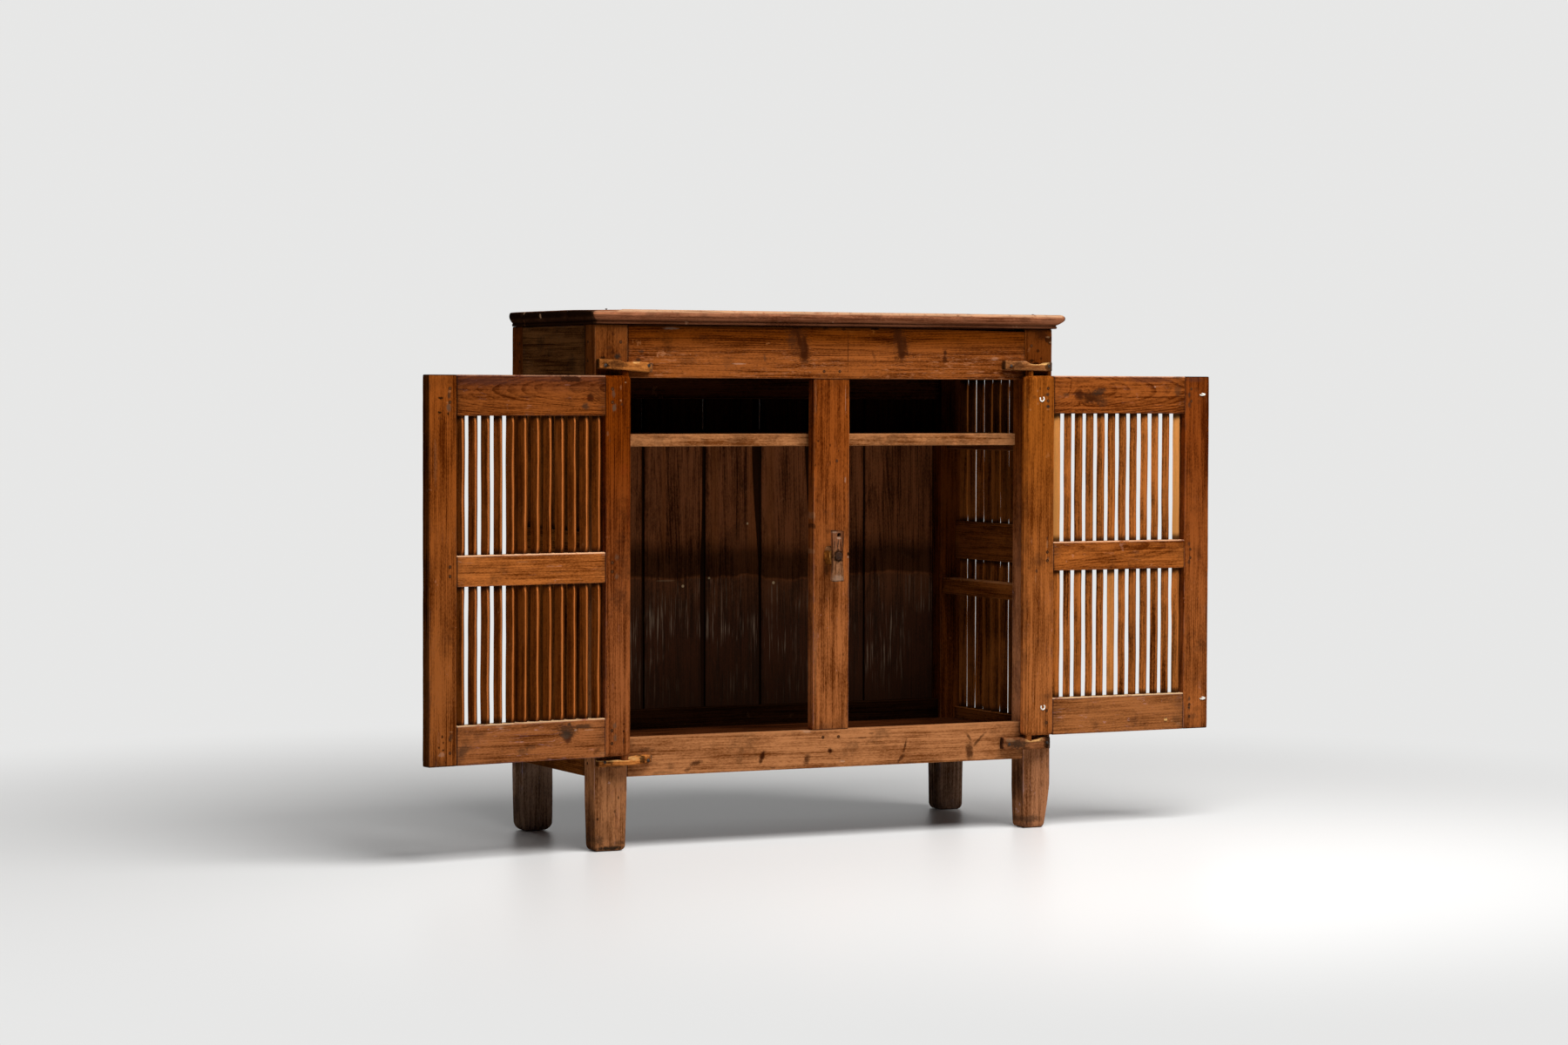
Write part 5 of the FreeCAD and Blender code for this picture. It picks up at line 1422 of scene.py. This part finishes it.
def sweep_tube(made, path, radius, sides):
    """A round wire along a path, closed by a small dome at each end."""
    rings = []
    side = None
    for index, point in enumerate(path):
        ahead = (path[min(index + 1, len(path) - 1)] - path[max(index - 1, 0)]).normalized()
        side = side or ahead.orthogonal().normalized()
        side = (side - ahead * side.dot(ahead)).normalized()
        other = ahead.cross(side)
        rings.append([point + (side * math.cos(turn) + other * math.sin(turn)) * radius
                      for turn in (2 * math.pi * part / sides for part in range(sides))])
    columns = bridge(made, rings)
    for ring, tip, inner in ((columns[0], path[0], path[1]), (columns[-1], path[-1], path[-2])):
        crown = made.verts.new(tip + (tip - inner).normalized() * radius * 0.6)
        for index in range(sides):
            made.faces.new((ring[index], ring[(index + 1) % sides], crown))


# Moulded top

def top_mesh(name, low, high, plain_sides, wear):
    """One board of the top. Its edge profile runs round it, apart from the side that meets the other board."""
    width, depth, height = high - low
    sides = ((0, -1, width), (1, 0, depth), (0, 1, width), (-1, 0, depth))
    ends = (Vector((low.x, low.y)), Vector((high.x, low.y)), Vector((high.x, high.y)), Vector((low.x, high.y)))
    outline = []
    for index, (_, _, span) in enumerate(sides):
        count = max(4, round(span / 0.013))
        outline += [(ends[index].lerp(ends[(index + 1) % 4], part / count), index, part == 0)
                    for part in range(count)]
    moulded = [0.0 if side in plain_sides else (1.0, 1.0, 1.0, TOP_LEFT_SHARE)[side] for side in range(4)]
    rings = []
    for inset, rise in TOP_PROFILE:
        ring = []
        for spot, side, corner in outline:
            out = Vector(sides[side][:2])
            spot = spot - out * (inset * TOP_MOULDING * moulded[side])
            if corner:
                spot -= Vector(sides[side - 1][:2]) * (inset * TOP_MOULDING * moulded[side - 1])
            ring.append(wear(Vector((*spot, low.z + rise * height)), rise, Vector((*out, 0.0)), moulded[side]))
        rings.append(ring)
    return skin(name, rings)


def worn_top(seed):
    """Small losses along the nose, a chip in the left end, and the front left corner rubbed low."""
    def wear(point, rise, outward, moulded):
        nick = noise.noise(Vector((point.x * 9.0, point.y * 9.0, seed)))
        fine = noise.noise(Vector((point.x * 60.0, point.y * 60.0, rise * 3.0 + seed)))
        loss = (0.0006 * max(nick, 0.0) + 0.0004 * max(fine, 0.0) + 0.0001) * moulded
        if rise > 0.6:
            edge = max(noise.noise(Vector((point.x * 24.0, point.y * 24.0, seed + 5.0))) - 0.25, 0.0)
            loss += 0.0035 * edge * moulded
        chip = math.hypot(point.x - TOP_CHIP[0], point.y - TOP_CHIP[1])
        loss += 0.0050 * math.exp(-(chip / 0.007) ** 2) * moulded * (1.0 if rise > 0.35 else 0.0)
        moved = point - outward * loss
        corner = 1.0 / (1.0 + math.exp((point.x - TOP_RUB_END) / 0.003))
        front = math.exp(-max(point.y - TOP_FRONT, 0.0) / 0.05)
        if rise > 0.6:
            moved.z -= 0.0042 * corner * front + 0.0005 * max(fine, 0.0) + 0.0008 * max(nick, 0.0)
        return moved

    return wear


def build_top():
    for name, plain_sides, seed, wear in (("top_front_board", (2,), 3.0, 0.75), ("top_back_board", (0, 2), 6.0, 0.25)):
        low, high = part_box(name)
        mesh = top_mesh(name + "_moulded", low, high, plain_sides, worn_top(seed))
        place, size = board_place(low, high, "x_flat")
        finish = pine(name + " pine", place, size, 60.0 + seed, Heart=(0.0, 0.05, -0.10), Slope=0.02, Knots=0.1,
                      Edge_wear=wear, Contrast=0.6, **TOP)
        blacken_end(finish, low, high)
        mesh.materials.append(finish.material)
        add_piece(name + "_moulded", mesh, "carcass", "top_pine", name)


def blacken_end(finish, low, high):
    """Painted shade on the left end and under the nose, and the upper edge of the front paled by wear and a painted
    highlight.
    """
    where = finish.place()
    at = finish.split(where)
    patch = finish.noise(where, 70.0, 4.0, 0.65)
    streak = finish.noise(where, (9.0, 60.0, 330.0), 3.0, 0.6).step(0.52, 0.68)
    # The upper front edge is paled by wear and a painted highlight
    upper = at[2].step(high.z - 0.0075, high.z - 0.0025) * patch.step(0.25, 0.5)
    rubbed = upper * at[1].step(low.y + 0.012, low.y + 0.004) * (0.75 if low.y < TOP_FRONT else 0.0)
    # Painted shade low on the moulding, under the nose
    lower = at[2].step(low.z + 0.0115, low.z + 0.0055)
    # Painted shade on the left end
    end_side = at[1] - low.y - (at[0] - low.x)
    left_end_shade = at[0].step(low.x + 0.022, low.x + 0.017) * end_side.step(-0.002, 0.001)
    left_end_shade = left_end_shade * at[2].step(high.z - 0.0002, high.z - 0.0022)
    finish.coat((rubbed, TOP["Worn"]), (streak * 0.55, TOP["Dark"]), (lower * 0.68, KNOT_COLOUR),
                (left_end_shade * 0.80, GRIME_AND_SHADE))
    for place, reach in TOP_BRUISES:
        away = finish.vector("LENGTH", finish.vector("SUBTRACT", where, place))
        finish.coat((away.step(reach, reach * 0.6) * patch.step(0.3, 0.45), LIP))


def build_flat_boards():
    place, size = board_place(*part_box("shelf_board"), "x_flat")
    redress("shelf_board", pine("shelf pine", place, size, 62.0, Heart=(0.0, 0.06, -0.05), Slope=0.015,
                                Edge_wear=0.8, Contrast=0.5, **RAIL))
    place, size = board_place(*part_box("floor_boards"), "x_flat")
    redress("floor_boards", pine("floor pine", place, size, 63.0, Heart=(0.0, 0.06, -0.05), Edge_wear=0.3, Dirt=0.8,
                                 **INSIDE))
    plug = "right_door_bottom_rail_plug"
    place, size = board_place(*local_box(plug, door_place("right")), "z", door_place("right"))
    redress(plug, pine("plug pine", place, size, 74.0, Knots=0.0, Shade=-0.5, Dirt=0.2, Pale=GOLD["Worn"],
                       Dark=GOLD["Pale"]))


# Studio

def build_studio():
    """A pale floor that fades into a pale backdrop, one large soft lamp and the camera."""
    scene = bpy.context.scene
    made = bmesh.new()
    bmesh.ops.create_grid(made, x_segments=1, y_segments=1, size=FLOOR_REACH)
    floor_mesh = poured(made, "floor")
    floor = put_in_scene("floor", floor_mesh)
    finish = Finish("pale floor")
    finish.set(Base_Color=FLOOR, Roughness=0.38, Specular_IOR_Level=0.3)
    seen = finish.add("ShaderNodeLightPath")["Is Camera Ray"]
    far = finish.vector("LENGTH", finish.place()).step(*FLOOR_FADE) * seen
    glow = finish.add("ShaderNodeEmission", {"Color": BACKDROP})
    surface = Value(finish, finish.shader.outputs[0])
    blend = finish.add("ShaderNodeMixShader", {0: far, 1: surface, 2: glow[0]})
    finish.put(finish.tree.nodes["Material Output"].inputs["Surface"], blend[0])
    floor_mesh.materials.append(finish.material)

    world = bpy.data.worlds.new("studio")
    scene.world = world
    world.use_nodes = True
    net = Net(world.node_tree)
    shown = world.node_tree.nodes["Background"]
    path = net.add("ShaderNodeLightPath")
    seen = path["Is Camera Ray"].most(path["Is Glossy Ray"]).most(path["Is Transmission Ray"])
    net.put(shown.inputs["Color"], net.mix(seen, (1.0, 1.0, 1.0), BACKDROP))
    net.put(shown.inputs["Strength"], seen.step(0.0, 1.0, FILL_LEVEL, 1.0))

    softbox = bpy.data.lights.new("overhead softbox", "AREA")
    softbox.shape = "RECTANGLE"
    softbox.size, softbox.size_y = KEY_SIZE
    softbox.energy = KEY_POWER
    lamp = put_in_scene("overhead softbox", softbox)
    lamp.location = KEY_PLACE
    lamp.rotation_euler = (Vector(KEY_AIM) - Vector(KEY_PLACE)).to_track_quat("-Z", "Y").to_euler()

    lens = bpy.data.cameras.new("camera")
    lens.lens = CAMERA_LENS
    lens.sensor_width = SENSOR
    camera = put_in_scene("camera", lens)
    turn = Euler((math.pi / 2 + CAMERA_PITCH, 0.0, -CAMERA_TURN)).to_matrix().to_4x4()
    camera.matrix_world = Matrix.Translation(CAMERA_PLACE) @ turn @ Matrix.Rotation(CAMERA_ROLL, 4, "Z")
    scene.camera = camera
    scene.view_settings.view_transform = "Standard"


build_studio()
build_posts()
build_rails()
build_inside()
for door_side in ("left", "right"):
    build_door(door_side)
build_bars()
build_pegs_and_nails()
build_back_boards()
build_flat_boards()
build_blocks()
build_button()
build_eyes()
build_top()
